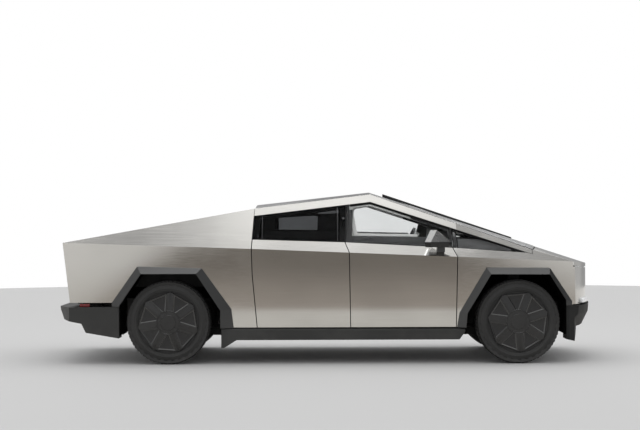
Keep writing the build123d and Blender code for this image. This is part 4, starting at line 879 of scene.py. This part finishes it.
roof_cloth, parts, links, shader = new_material("roof_cloth")
tree = roof_cloth.node_tree
threads = noise(tree, 700.0, 2.0, 0.6)
links.new(blend_colours(tree, ramp(tree, threads, 0.35, 0.65), (0.68, 0.68, 0.67, 1.0), (0.80, 0.80, 0.79, 1.0)),
          shader.inputs["Base Color"])
shader.inputs["Roughness"].default_value = 0.95
bump(tree, shader, threads, 0.4, 0.001)
card_leather = leather_finish("door_leather", (0.020, 0.020, 0.021, 1.0), 0.55)
door_cards = {
    "front": [(0.32, 0.44), (0.34, 1.06), (1.22, 1.03), (1.22, 0.44)],
    "rear": [(-0.60, 0.62), (-0.66, 1.08), (0.09, 1.08), (0.08, 0.44), (-0.44, 0.44)]}
armrests = {"front": (0.42, 1.05, 0.78), "rear": (-0.50, -0.02, 0.80)}
ledges = {
    "front": ([(0.225, 1.225), (0.90, 1.195), (1.05, 1.187), (1.235, 1.175)],
              [(0.225, 1.330), (1.015, 1.316), (1.040, 1.442), (1.235, 1.374)]),
    "rear": ([(-0.70, 1.255), (0.105, 1.225)], [(-0.70, 1.384), (0.105, 1.373)])}
surrounds = {
    "front": ([(0.930, 1.317), (0.225, 1.330), (0.225, 1.600), (0.225, 1.625), (0.300, 1.642), (0.439, 1.664),
               (1.040, 1.467)],
              [(0.930, 1.341), (0.300, 1.356), (0.262, 1.560), (0.272, 1.604), (0.308, 1.626), (0.439, 1.642),
               (1.040, 1.446)]),
    "rear": ([(-0.70, 1.384), (-0.70, 1.520), (-0.150, 1.582), (-0.095, 1.560), (0.105, 1.566), (0.105, 1.373)],
             [(-0.571, 1.384), (-0.571, 1.519), (-0.160, 1.543), (-0.117, 1.533), (-0.119, 1.500), (-0.125, 1.373)])}
# The cabin frame is lined with pale cloth over the door windows.  Beside the quarter pane the same pale colour is
# painted light, standing for bright light seen through the glass.
cloth_over_window = (frame_cloth_rear, frame_cloth_fore, 1.490)     # rear end, front end, lowest height
painted_light_near_pane = (1.335, 1.530, 1.335)
lining_and_painted_light_colour = (0.75, 0.75, 0.74, 1.0)
frame_lining_and_painted_light = plastic_finish("frame_lining_and_painted_light", (0.022, 0.022, 0.024, 1.0), 0.55, dust=0.0)
tree = frame_lining_and_painted_light.node_tree
over_window, pane_painted_light = (
    math_node(tree, "MULTIPLY", math_node(tree, "GREATER_THAN", axes_of(tree)["Z"], above), between(tree, rear, fore))
    for rear, fore, above in (cloth_over_window, painted_light_near_pane))
blended_over(frame_lining_and_painted_light, math_node(tree, "MAXIMUM", over_window, pane_painted_light), lining_and_painted_light_colour)
paint(frame_lining_and_painted_light, "cabin_frame")
for end in ("front", "rear"):
    body = "door_" + end + "_{}_body"
    card_inner = [(x, -card_depth + card_thick, z) for x, z in door_cards[end]]
    card = extruded(card_inner, (0.0, -card_thick, 0.0), bevel=0.004)
    rear_x, fore_x, top = armrests[end]
    rest = extruded([(rear_x, -0.846, top), (fore_x, -0.846, top + 0.03), (fore_x - 0.05, -0.846, top - 0.07),
                     (rear_x + 0.10, -0.846, top - 0.09)], (0.0, 0.075, 0.0), bevel=0.018, segments=4)
    pair(joined(rest, card), "door_card_" + end, body, card_leather, smooth=40)
    low, high = ledges[end]
    ledge = slab(facet_line(low, ledge_depth), facet_line(high, ledge_depth), facet_way * 0.016, 0.004, 3, angle=20)
    pair(ledge, "window_ledge_" + end, body, card_leather)
    outer, inner = surrounds[end]
    surround = slab(facet_line(outer, ledge_depth), facet_line(inner, ledge_depth), facet_way * 0.010, 0.003, angle=20)
    pair(surround, "window_surround_" + end, body, roof_cloth if end == "front" else trim)


# ------------------------------------------------------------------ dash and screen
# One long slab dash with a padded top and a narrow full-width vent, and a wide screen standing
# at its middle on a short stalk.

gloss_black = plastic_finish("gloss_black", (0.006, 0.006, 0.0065, 1.0), 0.08, dust=0.0, grain=0.0)
dash_pad = extruded([(0.985, -0.75, 1.152), (1.02, -0.75, 1.170), (1.45, -0.75, 1.180), (1.72, -0.75, 1.168),
                     (1.72, -0.75, 1.158)], (0.0, 1.50, 0.0), bevel=0.006, segments=3)
finished(dash_pad, "dash_pad", "truck", card_leather)
vent = extruded([(0.998, -0.735, 1.105), (1.001, -0.735, 1.125), (1.010, -0.735, 1.125), (1.008, -0.735, 1.105)],
                (0.0, 1.47, 0.0), bevel=0.001)
finished(vent, "dash_vent", "truck", gloss_black)
screen = extruded([(0.950, -0.205, 1.115), (0.950, 0.205, 1.115), (0.985, 0.205, 1.350), (0.985, -0.205, 1.350)],
                  (0.013, 0.0, -0.002), bevel=0.004, segments=3)
only(screen)
bpy.ops.object.mode_set(mode="EDIT")
pick("FACE", lambda face: face.normal.x < -0.9 and face.calc_area() > 0.05)
bpy.ops.mesh.inset(thickness=0.009, depth=-0.0008)
bpy.ops.object.mode_set(mode="OBJECT")
finished(screen, "dash_screen", "truck", gloss_black)
stalk = extruded([(0.968, -0.03, 1.10), (0.968, 0.03, 1.10), (0.978, 0.03, 1.20), (0.978, -0.03, 1.20)],
                 (0.05, 0.0, -0.03), bevel=0.005)
finished(stalk, "screen_stalk", "truck", trim)


# ------------------------------------------------------------------ steering wheel
# A flat-sided loop wrapped in leather, with one wide moulded bar across it.  It is made flat
# at the origin, then set on the column's rake.

wheel_hub = Vector((0.930, 0.400, 1.260))
column_way = Vector((-0.9135, 0.0, 0.4067))
leather_dark = (0.030, 0.030, 0.032, 1.0)
leather = leather_finish("seat_leather", leather_dark, 0.5)

bpy.ops.object.select_all(action="DESELECT")
bpy.ops.mesh.primitive_plane_add(size=1.0)
rim = bpy.context.object
rim.scale = (0.366, 0.296, 1.0)
applied()
bpy.ops.object.mode_set(mode="EDIT")
bpy.ops.mesh.select_all(action="SELECT")
bpy.ops.mesh.bevel(offset=0.12, segments=10, affect="VERTICES")
bpy.ops.mesh.inset(thickness=0.027)
bpy.ops.mesh.delete(type="FACE")
thickened(rim, (0.0, 0.0, 0.024))
rounded(rim, 0.0105, 4, 40)
bar = extruded([(-0.160, -0.030, 0.004), (-0.060, -0.042, 0.004), (0.060, -0.042, 0.004), (0.160, -0.030, 0.004),
                (0.160, 0.018, 0.004), (0.050, 0.034, 0.004), (-0.050, 0.034, 0.004), (-0.160, 0.018, 0.004)],
               (0.0, 0.0, 0.017), bevel=0.005, segments=3)
boss = turned([(0.0004, -0.016), (0.045, -0.016), (0.048, 0.004), (0.036, 0.012), (0.0004, 0.012)], 40,
              axis=(0.0, 0.0, 1.0))
steering = joined(boss, bar, rim)
across_way = Vector((0.0, 1.0, 0.0))
raked = Matrix((across_way, column_way.cross(across_way), column_way)).transposed().to_4x4()
steering.matrix_world = Matrix.Translation(wheel_hub) @ raked
finished(steering, "steering_loop", "steering_wheel_body", leather, smooth=40)
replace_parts(steering, "steering_wheel")


# ------------------------------------------------------------------ seats
# Each seat is a set of foam pads in sewn leather covers on a plastic plinth: a cushion with side
# bolsters, a backrest and a headrest.  The covers are blown up a little as cloth, then sewn.

pad_voxel = 0.009
pad_pressure = 4.0
pad_travel = 0.024
seam_depth = 0.006
seam_width = 0.007


def padded(blocks, seams):
    """A pad from slightly small (outline, y, width) blocks, swollen as cloth and sewn along its seams."""
    pieces = [extruded([(x, y, z) for x, z in outline], (0.0, width, 0.0), bevel=0.022, segments=3)
              for outline, y, width in blocks]
    pad = joined(*pieces)
    modifier(pad, "REMESH", mode="VOXEL", voxel_size=pad_voxel)
    start = [point.co.copy() for point in pad.data.vertices]
    cloth = pad.modifiers.new("swell", "CLOTH")
    cloth.settings.use_pressure = True
    cloth.settings.uniform_pressure_force = pad_pressure
    cloth.settings.effector_weights.gravity = 0.0
    for step in range(1, 21):
        bpy.context.scene.frame_set(step)
    bpy.ops.object.modifier_apply(modifier=cloth.name)
    bpy.context.scene.frame_set(1)
    for point, place in zip(pad.data.vertices, start):
        move = point.co - place
        if move.length > pad_travel:
            point.co = place + move.normalized() * pad_travel
    modifier(pad, "SMOOTH", factor=0.5, iterations=4)
    modifier(pad, "SUBSURF", levels=1, render_levels=1)
    pad.data.update()
    sunk = [(point, point.normal.copy(), min(abs(seam(point.co)) for seam in seams)) for point in pad.data.vertices]
    for point, normal, away in sunk:
        if away < 3 * seam_width:
            point.co -= normal * seam_depth * 2.718 ** (-(away / seam_width) ** 2)
    return pad


def covered(pad, name):
    """A finished pad in its leather cover."""
    finished(pad, name, "truck", leather, smooth=60)
    return pad


def bolstered(outline, raised, half, bolster, y):
    """A pad's centre block with a raised block along each side."""
    inner = half - bolster
    return [(outline, y - inner - 0.004, 2 * inner + 0.008), (raised, y - half, bolster), (raised, y + inner, bolster)]


def side_seams(inner, y):
    """Seams along a pad's two bolsters."""
    return [lambda co: co.y - y - inner, lambda co: co.y - y + inner]


cushion_line = [(0.355, 0.640), (0.800, 0.650), (0.812, 0.730), (0.440, 0.700)]
cushion_side = [(0.360, 0.640), (0.790, 0.650), (0.800, 0.752), (0.440, 0.722)]
back_line = [(0.325, 0.690), (0.395, 0.715), (0.238, 1.262), (0.155, 1.256)]
back_side = [(0.325, 0.690), (0.412, 0.725), (0.256, 1.200), (0.165, 1.190)]
head_line = [(0.226, 1.300), (0.212, 1.410), (0.150, 1.408), (0.158, 1.300)]
seat_y = -0.4
seat_pads = {
    "seat_cushion": padded(bolstered(cushion_line, cushion_side, 0.236, 0.085, seat_y),
                           side_seams(0.151, seat_y) + [lambda co: co.x - 0.66]),
    "seat_back": padded(bolstered(back_line, back_side, 0.236, 0.080, seat_y),
                        side_seams(0.156, seat_y) + [lambda co: co.z - 1.05]),
    "seat_headrest": padded([(head_line, seat_y - 0.125, 0.25)], [lambda co: co.y - seat_y])}
for name, pad in seat_pads.items():
    left = mirrored(pad)
    covered(pad, name + "_right")
    covered(left, name + "_left")
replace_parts(seat_pads["seat_cushion"], "front_seats")
plinth = extruded([(0.34, -0.59, 0.408), (0.34, -0.21, 0.408), (0.76, -0.21, 0.408), (0.76, -0.59, 0.408)],
                  (0.0, 0.0, 0.215), bevel=0.012, segments=3)
pair(plinth, "seat_plinth", "truck", trim)

bench_line = [(-0.590, 0.640), (-0.125, 0.652), (-0.118, 0.735), (-0.490, 0.700)]
bench_back = [(-0.610, 0.690), (-0.540, 0.715), (-0.700, 1.262), (-0.780, 1.256)]
bench_seams = [lambda co: co.y - 0.23, lambda co: co.y + 0.23]
bench = covered(padded([(bench_line, -0.655, 1.31)], bench_seams + [lambda co: co.x + 0.26]), "bench_cushion")
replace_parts(bench, "rear_bench")
covered(padded([(bench_back, -0.655, 1.31)], bench_seams + [lambda co: co.z - 1.05]), "bench_back")
plinth = extruded([(-0.58, -0.6, 0.408), (-0.58, 0.6, 0.408), (-0.18, 0.6, 0.408), (-0.18, -0.6, 0.408)],
                  (0.0, 0.0, 0.215), bevel=0.012, segments=3)
finished(plinth, "bench_plinth", "truck", trim)


# ------------------------------------------------------------------ carpet
# Dark needle-felt carpet, cut to the floor and laid over it.

carpet_felt, parts, links, shader = new_material("carpet_felt")
tree = carpet_felt.node_tree
fibres = noise(tree, 900.0, 3.0, 0.7)
trodden = noise(tree, 3.0, 3.0)
links.new(blend_colours(tree, ramp(tree, fibres, 0.35, 0.65), (0.010, 0.010, 0.011, 1.0), (0.034, 0.034, 0.036, 1.0)),
          shader.inputs["Base Color"])
links.new(ramp(tree, trodden, 0.3, 0.7, 0.85, 1.0), shader.inputs["Roughness"])
bump(tree, shader, fibres, 0.6, 0.002)
carpet = extruded([(-0.60, -0.66, 0.4005), (-0.60, 0.66, 0.4005), (0.84, 0.66, 0.4005), (0.84, -0.66, 0.4005)],
                  (0.0, 0.0, 0.007), bevel=0.002)
finished(carpet, "carpet", "truck", carpet_felt)


# ------------------------------------------------------------------ quarter panes and mirrors
# Behind the clear pane ahead of each front door are a divider post and a moulded trim panel, and
# black seals run along its top and the door window's.  Each mirror is a folded cap over a black band;
# the cap's rear facet is painted lighter and its front facet darker, as painted light and shade.

quarter_post = ((1.300, 1.190), (1.345, 1.190), (1.326, 1.376), (1.292, 1.389))
quarter_panel = ((1.345, 1.195), (1.900, 1.170), (1.900, 1.200), (1.560, 1.288), (1.345, 1.296))
quarter_top = ((1.290, 1.384), (1.290, 1.4045), (1.900, 1.2040), (1.900, 1.1835))
window_top = ((0.226, 1.6590), (0.439, 1.6840), (1.266, 1.4122))
window_top_seal = 0.023                     # how wide that seal is
mirror_x = 1.160
mirror_y = 1.004
mirror_foot_z = 1.213                       # heights of the head's bottom, its widest ring and its peak
mirror_rim_z = 1.262
mirror_peak_z = 1.388
mirror_band_top = 1.268
ridge_lean = 0.564                          # the ridge between the cap's two facets, seen from the side
ridge_x = mirror_x - 0.054                  # where it meets the peak
# Painted light and shade: the cap's rear facet is lighter and its front facet darker, as light falls on them.
cap_rear_painted_light = (0.47, 0.47, 0.465, 1.0)
cap_fore_painted_shade = (0.26, 0.26, 0.26, 1.0)
band_black = (0.006, 0.006, 0.0065, 1.0)
head_foot = [(-0.172, 0.135), (-0.108, 0.028), (0.030, 0.030), (0.103, 0.062), (0.064, 0.136), (-0.120, 0.194)]
head_rim = [(-0.181, 0.150), (-0.108, 0.028), (0.030, 0.028), (0.113, 0.062), (0.070, 0.141), (-0.125, 0.204)]
head_peak = [(-0.112, 0.036), (-0.109, 0.030), (-0.070, 0.030), (-0.050, 0.040), (-0.048, 0.090), (-0.054, 0.122)]
mirror_face = ((0.14, 1.2240), (0.95, 1.2210), (0.95, 1.3700), (0.12, 1.2620))     # (share across, z)

divider = extruded(facet_line(quarter_post, 0.012), facet_way * 0.012)
pair(divider, "quarter_divider", "truck", gloss_black)
pane_cloth = plastic_finish("pane_trim", (0.085, 0.086, 0.088, 1.0), 0.8, dust=0.0, grain=0.3)
pane_trim = extruded(facet_line(quarter_panel, 0.022), facet_way * 0.010)
pair(pane_trim, "quarter_trim", "truck", pane_cloth)
seal_black = plastic_finish("seal_black", (0.002, 0.002, 0.002, 1.0), 0.7, dust=0.0, grain=0.1, shine=0.1)
rail_seal = strip(facet_line(window_top, -0.0008),
                  facet_line([(x, z - window_top_seal) for x, z in window_top], -0.0008))
thickened(rail_seal, facet_way * 0.002)
bpy.ops.object.mode_set(mode="OBJECT")
pair(rail_seal, "rail_seal", "door_front_{}_body", seal_black)
pane_seal = extruded(facet_line(quarter_top, -0.0008), facet_way * 0.003, bevel=0.0005)
pair(pane_seal, "quarter_seal", "truck", seal_black)

mirror_shell, parts, links, shader = new_material("mirror_shell")
tree = mirror_shell.node_tree
axes = axes_of(tree)
cap = math_node(tree, "GREATER_THAN", axes["Z"], mirror_band_top)
satin = use_group(tree, moulded, Color=cap_rear_painted_light, Roughness=0.26, Dust=0.0)
# The ridge splits the cap into a lighter rear facet and a darker front facet: painted light and shade.
ridge = math_node(tree, "MULTIPLY_ADD", axes["Z"], ridge_lean, ridge_x - ridge_lean * mirror_peak_z)
leading_facet_in_shade = math_node(tree, "GREATER_THAN", axes["X"], ridge)
facet_light_and_shade = blend_colours(tree, leading_facet_in_shade, satin.outputs["Color"], cap_fore_painted_shade)
links.new(blend_colours(tree, cap, band_black, facet_light_and_shade), shader.inputs["Base Color"])
links.new(cap, shader.inputs["Metallic"])
links.new(satin.outputs["Roughness"], shader.inputs["Roughness"])
bump(tree, shader, satin.outputs["Height"], 0.05, 0.0002)

rings = [[(mirror_x + x, -mirror_y - y, height) for x, y in plan + plan[:1]]
         for plan, height in ((head_foot, mirror_foot_z), (head_rim, mirror_rim_z), (head_peak, mirror_peak_z))]
shell = []
for low_ring, high_ring in zip(rings, rings[1:]):
    shell.append(strip(low_ring, high_ring))
    bpy.ops.object.mode_set(mode="OBJECT")
for ring in (rings[0], rings[2]):
    shell.append(sheet(ring[:-1]))
    bpy.ops.object.mode_set(mode="OBJECT")
head = joined(*shell)
bpy.ops.object.mode_set(mode="EDIT")
faces_out(weld=0.0001)
rounded(head, 0.0025, 2, 10)
heads = pair(head, "mirror_head", "mirror_{}_body", mirror_shell, smooth=8)
for piece, side in zip(heads, ("right", "left")):
    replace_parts(piece, "mirror_" + side)


def on_mirror(across, z, out):
    """A place on the right-hand mirror's rear face, from its outer end towards the door, so far off it."""
    return mirror_x - 0.181 + 0.073 * across - 0.858 * out, -(mirror_y + 0.150 - 0.122 * across - 0.513 * out), z


silvered, parts, links, shader = new_material("mirror_glass")
shader.inputs["Metallic"].default_value = 1.0
shader.inputs["Roughness"].default_value = 0.02
smears = ramp(silvered.node_tree, noise(silvered.node_tree, 9.0, 3.0), 0.35, 0.7)
links.new(blend_colours(silvered.node_tree, smears, (0.80, 0.81, 0.82, 1.0), (0.74, 0.75, 0.77, 1.0)),
          shader.inputs["Base Color"])
glass_way = Vector(on_mirror(0.0, 0.0, 0.0025)) - Vector(on_mirror(0.0, 0.0, 0.0))
mirror_glass = extruded([on_mirror(across, z, -0.0015) for across, z in mirror_face], glass_way, bevel=0.0006)
pair(mirror_glass, "mirror_glass", "mirror_{}_body", silvered)


# ------------------------------------------------------------------ wiper
# One long arm with its blade beneath, from a pivot at the cowl to near the roof, steel painted black.

crown_radius = 6.70
glass_rear = Vector((0.443, 1.793))         # (x, z) of the windscreen's middle line
glass_fore = Vector((2.230, 1.2027))


def on_screen(x, y, lift):
    """A place so far above the windscreen's outer face."""
    share = (x - glass_rear.x) / (glass_fore.x - glass_rear.x)
    height = glass_rear.y + share * (glass_fore.y - glass_rear.y) - 1.05 * y ** 2 / (2 * crown_radius)
    return Vector((x, y, height + lift))


wiper_paint = plastic_finish("wiper_paint", (0.010, 0.010, 0.010, 1.0), 0.45, dust=0.0, grain=0.1)
arm_foot = (2.105, 0.640)
arm_tip = (0.610, 0.330)


def bar_on_screen(low, high, half, taper):
    """A bar along the wiper's line between two heights, narrower towards its tip."""
    start, end = (on_screen(*place, 0.0) for place in (arm_foot, arm_tip))
    aside = Vector((0.0, half, 0.0))
    outline = [start - aside, start + aside, end + aside * taper, end - aside * taper]
    return thickened(sheet(point + Vector((0.0, 0.0, low)) for point in outline), (0.0, 0.0, high - low))


blade = bar_on_screen(0.008, 0.030, 0.004, 0.8)
rounded(blade, 0.0015, 2, 30)
arm = bar_on_screen(0.028, 0.053, 0.013, 0.6)
pick("VERT", lambda point: point.co.x > 1.5 and point.co.z > on_screen(point.co.x, point.co.y, 0.0).z)
bpy.ops.transform.translate(value=(0.0, 0.0, 0.020))
rounded(arm, 0.005, 3, 30)
pivot = turned([(0.0004, -0.022), (0.020, -0.022), (0.020, 0.044), (0.017, 0.050), (0.0004, 0.052)], 32,
               axis=(0.0, 0.0, 1.0))
pivot.location = on_screen(2.115, 0.640, 0.004)
only(pivot)
applied()
finished(joined(blade, pivot, arm), "wiper_arm", "truck", wiper_paint)
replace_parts(arm, "wiper")


# ------------------------------------------------------------------ front lamps
# A thin light bar runs round the nose under the lid's lip, and two square lamps sit in dark
# recesses above the bumper.  Clear lenses over white light guides.

nose_x = 2.541
nose_bow = 0.269
nose_half = 0.935
nose_radius = (nose_half ** 2 + nose_bow ** 2) / (2 * nose_bow)
nose_middle = Vector((nose_x + nose_bow - nose_radius, 0.0, 0.0))


def lens_finish(name, direction, scale, trough, crest, roughness, strength):
    """A lens with flutes moulded across it."""
    material, parts, links, shader = new_material(name)
    flutes = on_object(material.node_tree, "Wave", Scale=scale)
    flutes.bands_direction = direction
    links.new(blend_colours(material.node_tree, flutes.outputs["Fac"], trough, crest), shader.inputs["Base Color"])
    shader.inputs["Roughness"].default_value = roughness
    bump(material.node_tree, shader, flutes.outputs["Fac"], strength, 0.0004)
    return material


lens = lens_finish("lamp_lens", "Y", 60.0, (0.80, 0.81, 0.82, 1.0), (0.90, 0.91, 0.92, 1.0), 0.12, 0.1)


def round_nose(section, start, sweep, steps):
    """A solid swept round the nose from its (radius, height) section, from one angle through another."""
    turn = Matrix.Rotation(start, 4, "Z")
    piece = sheet(nose_middle + turn @ Vector((radius, 0.0, height)) for radius, height in section)
    bpy.ops.mesh.spin(steps=steps, angle=sweep, center=nose_middle, axis=(0.0, 0.0, 1.0))
    faces_out(weld=0.00005)
    return piece


lid_slope = -0.3296
lid_nose_z = 1.0126             # top of the lid at the middle of the nose
lid_thick = 0.040
nose_crown_radius = 10.0


def nose_gap(y, inset):
    """The slot between the fascia and the lid's lip: how far forward, its bottom and its top."""
    x = nose_middle.x + sqrt((nose_radius - inset) ** 2 - y ** 2)
    low = 0.999 - 0.1337 * (x - nose_x)
    high = lid_nose_z + lid_slope * (x - nose_x - nose_bow) - y ** 2 / (2 * nose_crown_radius) - lid_thick
    return x, low, high


slot = [(y, *nose_gap(y, 0.012)) for y in (-0.84 + step * 0.12 for step in range(15))]
light_bar = slab([(x, y, low + 0.0005) for y, x, low, high in slot],
                 [(x, y, high - 0.0015) for y, x, low, high in slot], (-0.010, 0.0, 0.0), 0.0008, segments=1)
finished(light_bar, "nose_light_bar", "truck", lens)
lamp = round_nose([(nose_radius - 0.004, 0.6125), (nose_radius + 0.027, 0.6125), (nose_radius + 0.027, 0.652),
                   (nose_radius - 0.004, 0.668)], radians(-15.5), radians(9.0), 9)
rounded(lamp, 0.006, 3, 30)
pair(lamp, "headlamp", "truck", lens)
brow = round_nose([(nose_radius - 0.004, 0.6105), (nose_radius + 0.029, 0.6105), (nose_radius + 0.029, 0.6135),
                   (nose_radius - 0.004, 0.6135)], radians(-14.5), radians(11.0), 11)
rounded(brow, 0.001, 2, 30)
pair(brow, "headlamp_tray", "truck", cladding)


# ------------------------------------------------------------------ tail lamps
# A thin red bar runs across the tailgate below its top edge, and a red marker lamp sits in the
# dark slot over each end of the bumper.

tail_top = Vector((-2.778, 1.263))          # (x, z) down the raked tail
tail_foot = Vector((-2.700, 0.640))

red_lens = lens_finish("red_lens", "X", 70.0, (0.10, 0.004, 0.006, 1.0), (0.17, 0.008, 0.011, 1.0), 0.15, 0.15)


def on_tail(y, z, out):
    """A place on the raked tail, so far behind it."""
    return tail_top.x + (tail_top.y - z) * (tail_foot.x - tail_top.x) / (tail_top.y - tail_foot.y) - out, y, z


tail_bar = slab(*([on_tail(y, z, 0.0022) for y in (-0.77, 0.77)] for z in (1.205, 1.222)), (0.004, 0.0, 0.0), 0.0008)
finished(tail_bar, "tail_light_bar", "tailgate_body", red_lens)
marker = extruded([(-2.602, -0.902, 0.599), (-2.496, -0.914, 0.599), (-2.496, -0.946, 0.599), (-2.602, -0.934, 0.599)],
                  (0.0, 0.0, 0.030), bevel=0.003)
pair(marker, "tail_marker_lamp", "truck", red_lens)


# ------------------------------------------------------------------ bed and roller shutter
# The bed is a one-piece moulded tub with ribs along its floor, under a shutter of hinged
# aluminium slats with rubber between them.

tub_outside = 0.642
bed_liner = plastic_finish("bed_liner", (0.020, 0.020, 0.0205, 1.0), 0.7, dust=0.3, grain=0.6)
tree = bed_liner.node_tree
outer_wall = math_node(tree, "GREATER_THAN", math_node(tree, "ABSOLUTE", axes_of(tree)["Y"]), tub_outside)
blended_over(bed_liner, outer_wall, (0.0016, 0.0016, 0.0016, 1.0))
paint(bed_liner, "bed_tub", "front_trunk_tub")
rib = extruded([(-2.52, -0.60, 0.812), (-2.52, -0.565, 0.812), (-2.515, -0.570, 0.819), (-2.515, -0.595, 0.819)],
               (1.55, 0.0, 0.0), bevel=0.002)
modifier(rib, "ARRAY", use_relative_offset=False, use_constant_offset=True,
         constant_offset_displace=(0.0, 0.1165, 0.0), count=11)
finished(rib, "bed_ribs", "truck", bed_liner)

slat_finish = grained("slat_coating", moulded, 0.1, 0.0002, metallic=0.5, Color=(0.030, 0.030, 0.031, 1.0),
                      Roughness=0.42, Dust=0.1)
shutter_low, shutter_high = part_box("tonneau_cover")
shutter_rise = (shutter_high.z - 0.030 - shutter_low.z) / (shutter_high.x - shutter_low.x)
slat_pitch = (shutter_high.x - shutter_low.x - 0.004) / 38
foot_x, foot_z = shutter_low.x + 0.002, shutter_low.z + 0.004
slat = extruded([(foot_x, -0.650, foot_z), (foot_x + slat_pitch - 0.004, -0.650, foot_z + shutter_rise * slat_pitch),
                 (foot_x + slat_pitch - 0.006, -0.650, foot_z + 0.021 + shutter_rise * slat_pitch),
                 (foot_x + slat_pitch * 0.5, -0.650, foot_z + 0.0235 + shutter_rise * slat_pitch * 0.5),
                 (foot_x, -0.650, foot_z + 0.021)], (0.0, 1.300, 0.0), bevel=0.002)
modifier(slat, "ARRAY", use_relative_offset=False, use_constant_offset=True,
         constant_offset_displace=(slat_pitch, 0.0, slat_pitch * shutter_rise), count=38)
finished(slat, "shutter_slats", "truck", slat_finish)
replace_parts(slat, "tonneau_cover")


# ------------------------------------------------------------------ underbody
# Under the floor a coated battery case lies between steel subframes, with cast arms, knuckles
# and drive units, rubber air springs and dark felt splash plates behind the rear bumper's wings.

splash_x = -2.1865
caliper_rear = 0.10             # a caliper is what is left of a ring ahead of here, and so far up and down
caliper_half = 0.105

battery_coat = grained("battery_coat", moulded, 0.3, 0.0004, Color=(0.055, 0.056, 0.058, 1.0), Roughness=0.55,
                       Dust=0.6)
under_paint = plastic_finish("underbody_paint", (0.0045, 0.0045, 0.0045, 1.0), 0.6, dust=0.3, grain=0.3, shine=0.3)
bellows_rubber = plastic_finish("bellows_rubber", (0.008, 0.008, 0.008, 1.0), 0.7, dust=0.4)
raw_casting = grained("raw_casting", moulded, 0.5, 0.0006, metallic=0.85, Color=(0.16, 0.16, 0.158, 1.0),
                      Roughness=0.5, Dust=0.5)
paint(battery_coat, "battery_pack")
paint(under_paint, "subframes", "half_shafts", "suspension_arms", "front_structure")
paint(bellows_rubber, "air_springs")
paint(raw_casting, "drive_units", *("knuckle_" + corner for corner in corners))
splash = extruded([(splash_x, y, z) for y, z in ((-0.660, 0.285), (-0.300, 0.285), (-0.300, 0.640), (-0.660, 0.640))],
                  (-0.006, 0.0, 0.0), bevel=0.001)
pair(splash, "splash_plate", "truck", liner_felt)
caliper = turned([(0.200, 0.002), (0.200, 0.046), (0.140, 0.046), (0.140, 0.040), (0.194, 0.040), (0.194, 0.008),
                  (0.140, 0.008), (0.140, 0.002)], 48)
pick("FACE", lambda face: (face.calc_center_median().x < caliper_rear
                           or abs(face.calc_center_median().z) > caliper_half))
bpy.ops.mesh.delete(type="FACE")
pick("EDGE", lambda edge: edge.is_boundary)
bpy.ops.mesh.edge_face_add()
faces_out()
rounded(caliper, 0.002, 2, 40)
for corner in corners:
    low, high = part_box("tyre_" + corner)
    twin = copied(caliper)
    twin.location = (low + high) / 2
    twin.rotation_euler = (0.0, pi if corner.startswith("front") else 0.0, pi if corner.endswith("left") else 0.0)
    finished(twin, "brake_caliper_" + corner, "knuckle_" + corner + "_body", raw_casting)
bpy.data.objects.remove(caliper)
